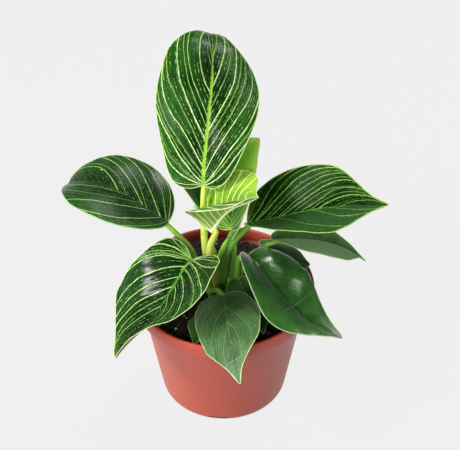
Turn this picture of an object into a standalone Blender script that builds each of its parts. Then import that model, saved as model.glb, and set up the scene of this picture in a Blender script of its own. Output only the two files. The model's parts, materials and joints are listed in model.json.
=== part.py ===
"""Potted philodendron: a striped foliage plant in a 12 cm nursery pot.

Every solid is modelled in metres, +Z up, with the pot's axis on the Z axis and
its underside at Z = 0.  Sizes are written in millimetres and turned into metres
when a mesh is made.  Angles are in degrees.
"""
import math
from dataclasses import dataclass

import bmesh
import bpy
import numpy as np

MM = 0.001

# Pot
RIM_RADIUS = 60.0
POT_HEIGHT = 85.0
BAND_HEIGHT = 10.0
BAND_BOTTOM_RADIUS = 59.5
BODY_TOP_RADIUS = 54.5
FOOT_RADIUS = 43.0
WALL = 1.4
LIP = 2.0
FLOOR = 2.0
RECESS_HEIGHT = 2.0
RECESS_INNER_RADIUS = 22.0
RECESS_OUTER_RADIUS = 38.5
NOTCH_WIDTH = 13.0
NOTCH_HEIGHT = 2.0
NOTCH_COUNT = 4
NOTCH_ANGLE = 265.0
DRAIN_RADIUS = 3.0
DRAIN_COUNT = 8
DRAIN_CIRCLE = 30.0
POT_SEGMENTS = 64

# Soil
SEAT = 0.3
SOIL_LEVEL = 77.0
SOIL_LUMP = 0.9
SOIL_HEAP = 4.0
HEAP_ANGLE = 120.0
SOIL_RINGS = 9
CROWN_X = -0.5
CROWN_Y = 4.0
CROWN_RADIUS = 12.0
CROWN_TOP = 77.5
CROWN_DEPTH = 22.0

# Leaves and stalks
BLADE = 0.8
STALK_SIDES = 8
STALK_STEPS = 3
MIDRIB_STEPS = 160
YOUNG_LEAVES = ("leaf_unfolding", "leaf_upright")
SHARP_ANGLE = 35.0


@dataclass(frozen=True)
class Leaf:
    """One blade.

    Pairs are (left, right) as seen from the stalk looking to the tip.  The four
    numbers of lift, heading and roll are the angles at the base, one third, two
    thirds and the tip of the midrib.  A heading of 0 points to +X, 90 to +Y.
    """

    base: tuple
    length: float
    width: float
    lift: tuple
    heading: tuple
    roll: tuple
    fold: tuple
    curl: tuple
    widest: float = 0.44
    lobe: float = 0.03
    taper: float = 0.6
    point: float = 0.12
    share: tuple = (1.0, 1.0)
    skew: float = 0.0
    fold_tip: tuple = ()
    curl_tip: tuple = ()
    rows: int = 16
    columns: int = 3


LEAVES = {
    "leaf_tall": Leaf(
        base=(-12.5, 8.0, 159.5), length=117, width=68,
        lift=(77, 49, 28, -40), heading=(83, 81, 89, 94), roll=(-9, -6, 21, 8),
        fold=(6, 8), curl=(28, 36), widest=0.46, lobe=0.04, taper=0.55, point=0.10,
        share=(1.04, 0.93), skew=-0.08, rows=18),
    "leaf_left": Leaf(
        base=(-35.0, 10.0, 129.0), length=89, width=60,
        lift=(23, 14, -9, -42), heading=(164, 148, 148, 139), roll=(6, -5, -8, -17),
        fold=(18, 17), curl=(24, 29), widest=0.45, lobe=0.01, taper=0.46, point=0.19,
        skew=0.02),
    "leaf_front_left": Leaf(
        base=(-20.0, -10.0, 114.5), length=80, width=72,
        lift=(-3, -33, -19, -31), heading=(235, 233, 225, 236), roll=(-2, 11, 22, 45),
        fold=(30, 28), curl=(13, 30), widest=0.43, lobe=0.09, taper=0.58, point=0.14,
        share=(1.02, 1.0), skew=-0.02),
    "leaf_front": Leaf(
        base=(0.0, -18.0, 91.5), length=76, width=43,
        lift=(18, 7, -17, -30), heading=(269, 276, 279, 293), roll=(10, 11, 27, 28),
        fold=(8, 1), curl=(30, 35), widest=0.35, lobe=0.03, taper=0.78, point=0.13),
    "leaf_front_right": Leaf(
        base=(16.0, 0.0, 110.0), length=83, width=64,
        lift=(8, -31, -27, -13), heading=(302, 317, 331, 336), roll=(-20, -12, -3, -16),
        fold=(18, 29), curl=(35, 49), widest=0.47, lobe=0.06, taper=0.60, point=0.20,
        share=(0.95, 0.99), skew=-0.15),
    "leaf_right": Leaf(
        base=(15.0, 10.0, 128.5), length=92, width=59,
        lift=(12, 21, 15, 9), heading=(-12, -6, -12, -6), roll=(-6, 6, 23, 29),
        fold=(32, 27), curl=(3, 5), widest=0.42, lobe=0.01, taper=0.78, point=0.12,
        skew=-0.03),
    "leaf_right_low": Leaf(
        base=(31.0, 16.0, 109.0), length=72, width=45,
        lift=(-1, -9, -30, -46), heading=(7, 4, 7, 10), roll=(-23, -10, -7, -10),
        fold=(12, 19), curl=(26, 25), widest=0.46, lobe=0.0, taper=0.76, point=0.13,
        rows=14),
    "leaf_right_under": Leaf(
        base=(26.5, 16.0, 100.5), length=34, width=33,
        lift=(-13, -26, -24, -16), heading=(14, -3, -4, 5), roll=(0, -4, -2, 0),
        fold=(5, 8), curl=(20, 19), widest=0.41, lobe=0.07, point=0.07, rows=12),
    "leaf_unfolding": Leaf(
        base=(-7.5, -4.0, 132.5), length=50, width=56,
        lift=(59, 59, 41, 36), heading=(-23, -30, -30, 6), roll=(-9, 10, 2, -13),
        fold=(47, 80), curl=(0, -17), fold_tip=(-1, 47), curl_tip=(0, 106),
        widest=0.51, lobe=0.07, taper=0.68, point=0.05, share=(1.07, 0.96), skew=0.02,
        rows=18, columns=4),
    "leaf_upright": Leaf(
        base=(5.0, 15.0, 118.5), length=66, width=40,
        lift=(87, 70, 55, 7), heading=(55, 59, 57, 62), roll=(-13, -2, 2, 3),
        fold=(17, 38), curl=(6, -1), widest=0.43, lobe=0.06, taper=0.43, skew=-0.03,
        rows=14),
    "leaf_behind": Leaf(
        base=(-15.0, 22.0, 130.0), length=61, width=33,
        lift=(67, 52, 43, 30), heading=(127, 121, 129, 130), roll=(34, 6, -4, -1),
        fold=(36, 15), curl=(5, 9), lobe=0.04, skew=0.02, rows=14),
    "leaf_small_left": Leaf(
        base=(-9.5, -14.0, 83.0), length=40, width=22,
        lift=(13, 5, -11, -19), heading=(267, 261, 251, 254), roll=(13, 18, 2, 11),
        fold=(5, 1), curl=(24, 30), widest=0.43, taper=0.5, rows=12),
    "leaf_small_right": Leaf(
        base=(9.5, 2.5, 87.5), length=50, width=28,
        lift=(0, -2, -8, -17), heading=(293, 288, 290, 284), roll=(1, 0, -1, -1),
        fold=(4, 5), curl=(25, 26), widest=0.43, lobe=0.02, taper=0.7, rows=12),
}


@dataclass(frozen=True)
class Stalk:
    """A leaf stalk or sheath as points from the crown up.

    The last point of a stalk that carries a leaf is worked out from the leaf,
    with drop as more room under the blade.
    """

    path: tuple
    thick: tuple
    leaf: str = ""
    flat: float = 1.0
    drop: float = 0.0


STALKS = (
    Stalk(leaf="leaf_tall", thick=(3.2, 2.6, 2.4, 2.3, 2.2, 2.0, 1.7),
          path=((-6.5, 4.5, 68), (-8.2, 4.8, 80), (-10.9, 4.6, 100), (-12.2, 4, 121),
                (-12.3, 4.2, 137), (-12.4, 7.2, 150)), drop=0.3),
    Stalk(leaf="leaf_unfolding", thick=(3.0, 3.2, 3.0, 2.4, 1.9),
          path=((-5, 2.5, 68), (-6.3, 1.5, 82), (-7.6, -1, 104), (-8.0, -3, 120)), drop=0.2),
    Stalk(leaf="leaf_right", thick=(3.8, 3.6, 3.3, 2.8, 2.3, 1.7),
          path=((-1, 5, 68), (-1, 5.5, 80), (0, 6, 91.5), (2.2, 7, 103), (6.5, 8, 114))),
    Stalk(leaf="leaf_upright", thick=(2.6, 2.4, 2.0, 1.7, 1.4),
          path=((0, 7, 72), (0.8, 9, 94), (2.2, 12, 106), (4, 14.8, 112)), drop=0.5),
    Stalk(leaf="leaf_front_right", thick=(3.0, 2.7, 2.5, 2.1, 1.6),
          path=((5.5, 6, 68), (7.8, 6.5, 82), (9.1, 6, 94), (10.6, 3.8, 104))),
    Stalk(leaf="leaf_right_low", thick=(2.4, 2.2, 1.9, 1.6, 1.4),
          path=((5, 6.5, 68), (9.8, 8.8, 83), (17.5, 12.5, 95), (25, 15, 102.5))),
    Stalk(leaf="leaf_right_under", thick=(2.2, 1.9, 1.6, 1.3),
          path=((3.5, 7, 68), (8.5, 9.5, 82), (17, 13, 93))),
    Stalk(leaf="leaf_left", thick=(3.0, 2.8, 2.6, 2.2, 1.9, 1.6),
          path=((-6, 3.5, 68), (-9.5, 4, 80), (-14, 5, 90), (-18.9, 6, 102), (-24, 8, 112))),
    Stalk(leaf="leaf_front_left", thick=(2.4, 2.2, 2.0, 1.8, 1.5),
          path=((-5.5, 1, 68), (-8, 0, 80), (-11, -2.5, 94), (-14, -5.5, 106))),
    Stalk(leaf="leaf_front", thick=(2.4, 2.2, 1.9, 1.7, 1.4),
          path=((-4, 0, 70), (-6.5, -2.5, 80), (-5, -8, 86.5), (-2, -13, 88.5)), drop=0.6),
    Stalk(leaf="leaf_behind", thick=(2.4, 2.1, 1.9, 1.7, 1.4),
          path=((-5, 7.5, 68), (-7, 9.5, 82), (-11.5, 14, 104), (-14, 19.5, 120)), drop=0.2),
    Stalk(leaf="leaf_small_left", thick=(2.0, 1.7, 1.3),
          path=((-5, -1, 70), (-8, -5, 79.5)), drop=0.3),
    Stalk(leaf="leaf_small_right", thick=(2.2, 1.9, 1.3),
          path=((4, 3, 70), (6, 3.2, 83)), drop=0.3),
    # Sheath that wraps the stalks on the right, with its free tip to the left.
    Stalk(thick=(3.0, 3.0, 2.6, 1.8, 0.7), flat=0.55,
          path=((-2, 4, 70), (-2.3, 4.2, 91), (-1.6, 4.8, 103), (0.2, 5.4, 112), (2.6, 6.2, 118))),
    # Sheath of the unfolding leaf's stalk, on its right.
    Stalk(thick=(2.4, 2.4, 1.9, 0.8), flat=0.6,
          path=((-4, 3, 70), (-4.8, 1.2, 92), (-5.6, -0.6, 108), (-6.6, -2.2, 119))),
    # Short spent sheath at the front of the crown.
    Stalk(thick=(1.8, 1.7, 1.0), flat=0.6,
          path=((-6.5, -0.5, 72), (-9.5, -2.2, 80), (-11.5, -2.6, 85))),
    # Pointed sheath tip between the two thick stalks on the right.
    Stalk(thick=(2.4, 2.0, 1.3, 0.6), flat=0.55,
          path=((5, 7, 72), (6.6, 7.6, 94), (7.4, 8, 108), (8.2, 8.4, 116))),
)


def cubic(values, v):
    """Return the smooth curve through four values at 0, 1/3, 2/3 and 1."""
    a, b, c, d = values
    x = 3.0 * v
    return (
        a * (1 - x) * (2 - x) * (3 - x) / 6
        + b * x * (2 - x) * (3 - x) / 2
        + c * x * (x - 1) * (3 - x) / 2
        + d * x * (x - 1) * (x - 2) / 6
    )


def leaf_directions(leaf, v):
    """Return the unit vectors along, out of and across the blade at v."""
    pitch = np.radians(cubic(leaf.lift, v))
    turn = np.radians(cubic(leaf.heading, v))
    roll = np.radians(cubic(leaf.roll, v))[..., None]
    cp, sp, ct, st = np.cos(pitch), np.sin(pitch), np.cos(turn), np.sin(turn)
    along = np.stack([cp * ct, cp * st, sp], -1)
    out = np.stack([-sp * ct, -sp * st, cp], -1)
    across = np.cross(along, out)
    rolled_out = out * np.cos(roll) + across * np.sin(roll)
    rolled_across = across * np.cos(roll) - out * np.sin(roll)
    return along, rolled_out, rolled_across


def leaf_outline(leaf, tau, widest):
    """Return half width (0 to 0.5) and distance along the midrib at each tau."""
    turn = math.pi * tau
    y = ((1 - np.cos(turn)) / 2) ** (math.log(widest) / math.log(0.5))
    x = np.sin(turn)
    near_tip = np.clip((y - (1 - 3 * leaf.point)) / (3 * leaf.point), 0, 1)
    x = x * (1 - leaf.taper * near_tip ** 2 * (3 - 2 * near_tip))
    y = y - leaf.lobe * np.sin(math.pi * np.clip(tau / 0.32, 0, 1))
    return x / 2, y


def leaf_half(leaf, index):
    """Return the middle surface of one half of the blade, in millimetres."""
    side = (-1, 1)[index]
    widest = leaf.widest + (leaf.skew if side < 0 else -leaf.skew)
    tau = np.linspace(0, 1, leaf.rows + 1)
    edge_x, edge_y = leaf_outline(leaf, tau, widest)
    start = 0.55 * tau + 0.45 * np.clip(edge_y, 0, 1)
    start[0], start[-1] = 0.0, 1.0
    u = np.linspace(0, 1, leaf.columns + 1)[None, :]
    bend_x = edge_x * 0.8
    bend_y = start + (edge_y - start) * 0.62
    x = 2 * u * (1 - u) * bend_x[:, None] + u * u * edge_x[:, None]
    y = (1 - u) ** 2 * start[:, None] + 2 * u * (1 - u) * bend_y[:, None] + u * u * edge_y[:, None]

    steps = MIDRIB_STEPS
    along, _, _ = leaf_directions(leaf, (np.arange(steps) + 0.5) / steps)
    midrib = np.vstack([[0, 0, 0], np.cumsum(along, 0) * leaf.length / steps]) + leaf.base
    v = np.clip(y, 0, 1)
    place = v * steps
    low = np.clip(place.astype(int), 0, steps - 1)
    part = (place - low)[..., None]
    spine = midrib[low] * (1 - part) + midrib[low + 1] * part
    along, out, across = leaf_directions(leaf, v)
    spine = spine + along * ((y - v) * leaf.length)[..., None]

    fold_tip = (leaf.fold_tip or leaf.fold)[index]
    curl_tip = (leaf.curl_tip or leaf.curl)[index]
    fold = np.radians(leaf.fold[index] + (fold_tip - leaf.fold[index]) * v)
    curl = np.radians(leaf.curl[index] + (curl_tip - leaf.curl[index]) * v) / (leaf.width / 2)
    curl = np.where(np.abs(curl) < 1e-6, 1e-6, curl)
    reach = x * leaf.width * leaf.share[index]
    end = fold - curl * reach
    sideways = (np.sin(fold) - np.sin(end)) / curl
    upward = (np.cos(end) - np.cos(fold)) / curl
    return spine + across * (side * sideways)[..., None] + out * upward[..., None]


def triangle_normals(points, triangles):
    """Return area weighted vertex normals."""
    normals = np.zeros_like(points)
    a, b, c = (points[triangles[:, k]] for k in range(3))
    face = np.cross(b - a, c - a)
    for k in range(3):
        np.add.at(normals, triangles[:, k], face)
    return normals / np.maximum(np.linalg.norm(normals, axis=1), 1e-12)[:, None]


def leaf_mesh(leaf):
    """Return points (mm) and triangles of a closed blade, alike on both faces."""
    left, right = leaf_half(leaf, 0), leaf_half(leaf, 1)
    strip = np.concatenate([left[:, ::-1], right[:, 1:]], axis=1)
    rows, width = strip.shape[0] - 1, strip.shape[1]
    inner = strip[1:rows].reshape(-1, 3)
    points = np.vstack([inner, strip[0, leaf.columns], strip[rows, leaf.columns]])
    base, tip = len(inner), len(inner) + 1

    def at(row, column):
        return (row - 1) * width + column

    triangles = []
    for column in range(width - 1):
        triangles.append((base, at(1, column + 1), at(1, column)))
        triangles.append((tip, at(rows - 1, column), at(rows - 1, column + 1)))
    for row in range(1, rows - 1):
        for column in range(width - 1):
            a, b = at(row, column), at(row, column + 1)
            c, d = at(row + 1, column + 1), at(row + 1, column)
            if column < leaf.columns:
                triangles += [(a, b, c), (a, c, d)]
            else:
                triangles += [(a, b, d), (b, c, d)]
    triangles = np.array(triangles)
    normals = triangle_normals(points, triangles)
    count = len(points)
    both = np.vstack([points + normals * BLADE / 2, points - normals * BLADE / 2])
    rim = [base] + [at(row, width - 1) for row in range(1, rows)] + [tip]
    rim += [at(row, 0) for row in range(rows - 1, 0, -1)]
    faces = [tuple(t) for t in triangles] + [tuple(t[::-1] + count) for t in triangles]
    for k, a in enumerate(rim):
        b = rim[(k + 1) % len(rim)]
        faces += [(a, a + count, b), (b, a + count, b + count)]
    return both, faces


def smooth_path(points, values, steps):
    """Return a rounded path through the points, with the values along it."""
    data = np.column_stack([np.array(points, float), np.array(values, float)])
    ends = np.vstack([2 * data[0] - data[1], data, 2 * data[-1] - data[-2]])
    out = []
    for k in range(1, len(ends) - 2):
        p0, p1, p2, p3 = ends[k - 1:k + 3]
        for t in np.linspace(0, 1, steps, endpoint=False):
            out.append(0.5 * (2 * p1 + (p2 - p0) * t + (2 * p0 - 5 * p1 + 4 * p2 - p3) * t ** 2
                              + (3 * p1 - p0 - 3 * p2 + p3) * t ** 3))
    out.append(data[-1])
    out = np.array(out)
    return out[:, :3], out[:, 3]


def stalk_mesh(stalk):
    """Return points (mm) and faces of a closed tube along the stalk."""
    path = list(stalk.path)
    if stalk.leaf:
        leaf = LEAVES[stalk.leaf]
        along, out, _ = leaf_directions(leaf, np.array([0.0]))
        depth = BLADE / 2 + SEAT + stalk.thick[-1] + stalk.drop
        end = np.array(leaf.base) - out[0] * depth + along[0] * 1.5
        path.append(tuple(end))
    centres, radii = smooth_path(path, stalk.thick, STALK_STEPS)
    tangents = np.gradient(centres, axis=0)
    tangents /= np.linalg.norm(tangents, axis=1)[:, None]
    points, faces = [], []
    for centre, tangent, radius in zip(centres, tangents, radii):
        side = np.cross(tangent, (0.0, 1.0, 0.0))
        side /= np.linalg.norm(side)
        depth_axis = np.cross(side, tangent)
        for k in range(STALK_SIDES):
            turn = 2 * math.pi * (k + 0.5) / STALK_SIDES
            points.append(centre + radius * (math.cos(turn) * side
                                             + stalk.flat * math.sin(turn) * depth_axis))
    rings = len(centres)
    for ring in range(rings - 1):
        for k in range(STALK_SIDES):
            a = ring * STALK_SIDES + k
            b = ring * STALK_SIDES + (k + 1) % STALK_SIDES
            faces += [(a, b, b + STALK_SIDES), (a, b + STALK_SIDES, a + STALK_SIDES)]
    first, last = len(points), len(points) + 1
    points += [centres[0], centres[-1]]
    for k in range(STALK_SIDES):
        n = (k + 1) % STALK_SIDES
        top = (rings - 1) * STALK_SIDES
        faces += [(first, n, k), (last, top + k, top + n)]
    return np.array(points), faces


def add_object(name, points, faces, scale=MM):
    """Make a mesh object whose faces point outward."""
    mesh = bpy.data.meshes.new(name)
    mesh.from_pydata([tuple(np.array(p) * scale) for p in points], [], faces)
    work = bmesh.new()
    work.from_mesh(mesh)
    bmesh.ops.recalc_face_normals(work, faces=work.faces)
    if work.calc_volume(signed=True) < 0:
        bmesh.ops.reverse_faces(work, faces=work.faces)
    work.to_mesh(mesh)
    work.free()
    thing = bpy.data.objects.new(name, mesh)
    bpy.context.scene.collection.objects.link(thing)
    return thing


def revolve(name, profile, segments):
    """Turn a closed (radius, height) outline in millimetres around the Z axis."""
    points, faces, rows = [], [], []
    for radius, height in profile:
        if radius < 1e-9:
            rows.append([len(points)] * segments)
            points.append((0, 0, height))
            continue
        rows.append(list(range(len(points), len(points) + segments)))
        for k in range(segments):
            turn = 2 * math.pi * k / segments
            points.append((radius * math.cos(turn), radius * math.sin(turn), height))
    for low, high in zip(rows, rows[1:]):
        for k in range(segments):
            n = (k + 1) % segments
            loop = []
            for corner in (low[k], low[n], high[n], high[k]):
                if corner not in loop:
                    loop.append(corner)
            faces.append(tuple(loop))
    return add_object(name, points, faces)


def box(name, centre, size, turn):
    """Make a box (mm) turned about the Z axis."""
    cx, cy, cz = centre
    c, s = math.cos(turn), math.sin(turn)
    points = []
    for z in (-0.5, 0.5):
        for x, y in ((-0.5, -0.5), (0.5, -0.5), (0.5, 0.5), (-0.5, 0.5)):
            px, py = x * size[0], y * size[1]
            points.append((cx + px * c - py * s, cy + px * s + py * c, cz + z * size[2]))
    faces = [(0, 3, 2, 1), (4, 5, 6, 7), (0, 1, 5, 4), (1, 2, 6, 5), (2, 3, 7, 6), (3, 0, 4, 7)]
    return add_object(name, points, faces)


def cylinder(name, centre, radius, low, high, segments):
    """Make an upright cylinder (mm)."""
    points, faces = [], []
    for z in (low, high):
        for k in range(segments):
            turn = 2 * math.pi * (k + 0.5) / segments
            points.append((centre[0] + radius * math.cos(turn),
                           centre[1] + radius * math.sin(turn), z))
    for k in range(segments):
        n = (k + 1) % segments
        faces.append((k, n, segments + n, segments + k))
    faces.append(tuple(reversed(range(segments))))
    faces.append(tuple(range(segments, 2 * segments)))
    return add_object(name, points, faces)


def combine(target, tools, operation):
    """Join or cut the target with one Boolean on a collection of tools, then remove them."""
    group = bpy.data.collections.new("tools")
    bpy.context.scene.collection.children.link(group)
    for tool in tools:
        bpy.context.scene.collection.objects.unlink(tool)
        group.objects.link(tool)
    change = target.modifiers.new("change", "BOOLEAN")
    change.operation = operation
    change.solver = "EXACT"
    change.operand_type = "COLLECTION"
    change.collection = group
    bpy.context.view_layer.update()
    ready = target.evaluated_get(bpy.context.evaluated_depsgraph_get())
    mesh = bpy.data.meshes.new_from_object(ready)
    target.modifiers.clear()
    target.data = mesh
    for tool in tools:
        bpy.data.objects.remove(tool)
    bpy.data.collections.remove(group)


def material(name, colour, roughness):
    """Make a Principled material from an sRGB hex colour."""
    paint = bpy.data.materials.new(name)
    paint.use_nodes = True
    shader = paint.node_tree.nodes["Principled BSDF"]
    parts = [int(colour[k:k + 2], 16) / 255 for k in (0, 2, 4)]
    linear = [c / 12.92 if c <= 0.04045 else ((c + 0.055) / 1.055) ** 2.4 for c in parts]
    shader.inputs["Base Color"].default_value = (*linear, 1.0)
    shader.inputs["Roughness"].default_value = roughness
    return paint


def pot_inside(height):
    """Return the inner radius of the pot's wall below its rim band."""
    floor_top = RECESS_HEIGHT + FLOOR
    low = FOOT_RADIUS - WALL + (BODY_TOP_RADIUS - FOOT_RADIUS) / (POT_HEIGHT - BAND_HEIGHT) * floor_top
    high = BODY_TOP_RADIUS - WALL
    top = POT_HEIGHT - BAND_HEIGHT + 0.6
    return low + (high - low) * (height - floor_top) / (top - floor_top)


def dress(thing, paint):
    """Give an object its only material and smooth shading with crisp edges."""
    thing.data.materials.clear()
    thing.data.materials.append(paint)
    thing.data.shade_smooth()
    thing.data.set_sharp_from_angle(angle=math.radians(SHARP_ANGLE))


def build_pot(paint):
    """Make the tapered pot with its rim band, recessed floor, notches and holes."""
    band_bottom = POT_HEIGHT - BAND_HEIGHT
    floor_top = RECESS_HEIGHT + FLOOR
    profile = [
        (0.0, 0.0),
        (RECESS_INNER_RADIUS, 0.0),
        (RECESS_INNER_RADIUS, RECESS_HEIGHT),
        (RECESS_OUTER_RADIUS, RECESS_HEIGHT),
        (RECESS_OUTER_RADIUS, 0.0),
        (FOOT_RADIUS - 0.8, 0.0),
        (FOOT_RADIUS, 0.8),
        (BODY_TOP_RADIUS, band_bottom),
        (BAND_BOTTOM_RADIUS, band_bottom),
        (RIM_RADIUS, POT_HEIGHT - 1.0),
        (RIM_RADIUS - 0.5, POT_HEIGHT - 0.2),
        (RIM_RADIUS - 1.0, POT_HEIGHT),
        (RIM_RADIUS - LIP - 0.2, POT_HEIGHT - 0.3),
        (RIM_RADIUS - LIP - 0.6, POT_HEIGHT - 1.2),
        (BAND_BOTTOM_RADIUS - LIP - 0.6, band_bottom + 2.4),
        (pot_inside(band_bottom + 0.6), band_bottom + 0.6),
        (pot_inside(floor_top), floor_top),
        (0.0, floor_top),
    ]
    pot = revolve("pot", profile, POT_SEGMENTS)
    tools = []
    for k in range(NOTCH_COUNT):
        turn = math.radians(NOTCH_ANGLE + 360.0 * k / NOTCH_COUNT)
        middle = (RECESS_OUTER_RADIUS + FOOT_RADIUS) / 2
        centre = (middle * math.cos(turn), middle * math.sin(turn), NOTCH_HEIGHT / 2 - 1.0)
        tools.append(box("notch", centre, (9.0, NOTCH_WIDTH, NOTCH_HEIGHT + 2.0), turn))
    for k in range(DRAIN_COUNT):
        turn = 2 * math.pi * (k + 0.5) / DRAIN_COUNT
        centre = (DRAIN_CIRCLE * math.cos(turn), DRAIN_CIRCLE * math.sin(turn))
        tools.append(cylinder("drain", centre, DRAIN_RADIUS, 1.0, floor_top + 1.0, 16))
    combine(pot, tools, "DIFFERENCE")
    dress(pot, paint)


def soil_height(x, y):
    """Return the height of the soil surface at a point, in millimetres."""
    radius = math.hypot(x, y)
    lumps = (
        math.sin(x * 0.31 + 1.1) * math.cos(y * 0.27 - 0.4)
        + 0.6 * math.sin(x * 0.62 - y * 0.48 + 2.0)
        + 0.4 * math.cos(x * 0.23 + y * 0.71 + 0.7)
    )
    turn = math.radians(HEAP_ANGLE)
    toward = (x * math.cos(turn) + y * math.sin(turn)) / 50.0
    heap = SOIL_HEAP * max(0.0, toward) ** 2
    crown = math.hypot(x - CROWN_X, y - CROWN_Y)
    calm = min(1.0, max(0.0, (crown - CROWN_RADIUS) / 8.0))
    outer = min(1.0, max(0.0, (radius - 44.0) / 8.0))
    return SOIL_LEVEL + (SOIL_LUMP * lumps * 0.6 + heap) * calm - 0.8 * outer


def build_soil(paint):
    """Make the fill of soil with a plain round hole for the crown."""
    bottom = RECESS_HEIGHT + FLOOR + SEAT
    bottom_radius = pot_inside(bottom) - SEAT
    wall_top = SOIL_LEVEL - 4.0
    wall_radius = pot_inside(wall_top) - SEAT
    hole_radius = CROWN_RADIUS + SEAT
    hole_bottom = CROWN_TOP - CROWN_DEPTH - SEAT
    sides = POT_SEGMENTS

    points, faces, rows = [], [], []

    def ring(centre, radius, height):
        row = []
        for k in range(sides):
            turn = 2 * math.pi * k / sides
            x = centre[0] + radius * math.cos(turn)
            y = centre[1] + radius * math.sin(turn)
            z = soil_height(x, y) if height is None else height
            row.append(len(points))
            points.append((x, y, z))
        rows.append(row)

    crown = (CROWN_X, CROWN_Y)
    ring(crown, hole_radius, hole_bottom)
    ring(crown, hole_radius, None)
    for k in range(1, SOIL_RINGS):
        share = k / SOIL_RINGS
        centre = (CROWN_X * (1 - share), CROWN_Y * (1 - share))
        ring(centre, hole_radius + (wall_radius - hole_radius) * share, None)
    ring((0, 0), wall_radius, None)
    ring((0, 0), wall_radius, wall_top)
    ring((0, 0), bottom_radius, bottom)
    for low, high in zip(rows, rows[1:]):
        for k in range(sides):
            n = (k + 1) % sides
            faces += [(low[k], low[n], high[n]), (low[k], high[n], high[k])]
    faces.append(tuple(reversed(rows[0])))
    faces.append(tuple(rows[-1]))
    soil = add_object("soil", points, faces)
    dress(soil, paint)


def build_stalks(paint):
    """Make the crown and all stalks as one solid."""
    low = CROWN_TOP - CROWN_DEPTH
    crown = cylinder("stalks", (CROWN_X, CROWN_Y), CROWN_RADIUS, low, CROWN_TOP, 24)
    tools = []
    for number, stalk in enumerate(STALKS):
        points, faces = stalk_mesh(stalk)
        tools.append(add_object(f"tool_{number}", points, faces))
    combine(crown, tools, "UNION")
    dress(crown, paint)


def main():
    """Build every solid."""
    for thing in list(bpy.data.objects):
        bpy.data.objects.remove(thing)
    build_pot(material("terracotta plastic", "C0624C", 0.45))
    build_soil(material("potting soil", "2B211C", 0.95))
    build_stalks(material("stalk green", "8DB33A", 0.45))
    dark = material("leaf dark green", "2F5A2B", 0.35)
    light = material("leaf light green", "7DB42E", 0.40)
    for name, leaf in LEAVES.items():
        points, faces = leaf_mesh(leaf)
        blade = add_object(name, points, faces)
        dress(blade, light if name in YOUNG_LEAVES else dark)


main()
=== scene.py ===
"""Looks of the potted philodendron: a pinstriped foliage plant in a 12 cm nursery pot.

Lengths are written in millimetres and turned into metres when a mesh is made.
Angles are in degrees.  The pot stands on Z = 0 with its axis on the Z axis, and
the camera looks along +Y, so left and right are those of the photograph.
"""
from __future__ import annotations

import json
import logging
import math
from dataclasses import dataclass
from enum import Enum
from typing import Any, Iterable, Sequence

import bmesh
import bpy
import numpy as np
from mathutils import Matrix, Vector

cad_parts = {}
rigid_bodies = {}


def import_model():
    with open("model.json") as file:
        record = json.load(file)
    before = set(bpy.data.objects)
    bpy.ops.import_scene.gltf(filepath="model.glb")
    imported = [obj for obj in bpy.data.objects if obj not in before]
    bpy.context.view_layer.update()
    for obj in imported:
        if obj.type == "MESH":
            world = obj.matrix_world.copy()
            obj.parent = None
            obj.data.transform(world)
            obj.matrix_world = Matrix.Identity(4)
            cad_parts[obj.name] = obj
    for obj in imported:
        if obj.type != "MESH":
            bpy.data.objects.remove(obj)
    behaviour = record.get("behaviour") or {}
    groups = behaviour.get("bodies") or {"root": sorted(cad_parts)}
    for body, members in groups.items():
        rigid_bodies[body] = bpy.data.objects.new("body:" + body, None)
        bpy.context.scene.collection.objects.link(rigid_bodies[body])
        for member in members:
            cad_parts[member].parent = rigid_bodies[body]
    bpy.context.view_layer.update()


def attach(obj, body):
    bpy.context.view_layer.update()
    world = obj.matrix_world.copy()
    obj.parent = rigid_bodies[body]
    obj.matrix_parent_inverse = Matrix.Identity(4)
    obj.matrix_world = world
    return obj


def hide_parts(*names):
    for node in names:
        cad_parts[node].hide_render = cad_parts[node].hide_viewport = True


MM = 0.001
BODY = "root"
LOG = logging.getLogger("philodendron")

Point = tuple[float, float, float]
Pair = tuple[float, float]
Rows = Sequence[Sequence[int]]

# Blender's noise lies mostly between these two values.
NOISE = (0.3, 0.7)


def from_hex(text: str) -> tuple[float, float, float, float]:
    """Turn an sRGB colour into linear light.

    Args:
        text: The colour, as six hex digits.

    Returns:
        Linear red, green, blue and an alpha of 1.
    """
    parts = [int(text[k:k + 2], 16) / 255 for k in (0, 2, 4)]
    linear = [c / 12.92 if c <= 0.04045 else ((c + 0.055) / 1.055) ** 2.4 for c in parts]
    return (linear[0], linear[1], linear[2], 1.0)


def add(tree: bpy.types.NodeTree, kind: str, inputs: dict[Any, Any] | Sequence[Any] = (),
        **settings: Any) -> bpy.types.Node:
    """Add a node to a tree, with its settings, values and links.

    Args:
        tree: The tree the node goes into.
        kind: Blender's name of the node type, without ShaderNode in front.
        inputs: Value, socket or node for each input, in order or by name or number.
            A node stands for the first of its outputs that is in use.
        settings: The node's own properties.

    Returns:
        The new node.
    """
    node = tree.nodes.new(kind if "Node" in kind else f"ShaderNode{kind}")
    for name, value in settings.items():
        setattr(node, name, value)
    for key, value in (inputs.items() if isinstance(inputs, dict) else enumerate(inputs)):
        if isinstance(value, bpy.types.Node):
            value = next(socket for socket in value.outputs if socket.enabled)
        if isinstance(value, bpy.types.NodeSocket):
            tree.links.new(value, node.inputs[key])
        else:
            node.inputs[key].default_value = value
    return node


@dataclass(frozen=True)
class Mark:
    """A small spot of another colour, such as a scar or a brown fleck."""

    place: Point
    radius: float
    colour: str
    strength: float = 0.8


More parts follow.
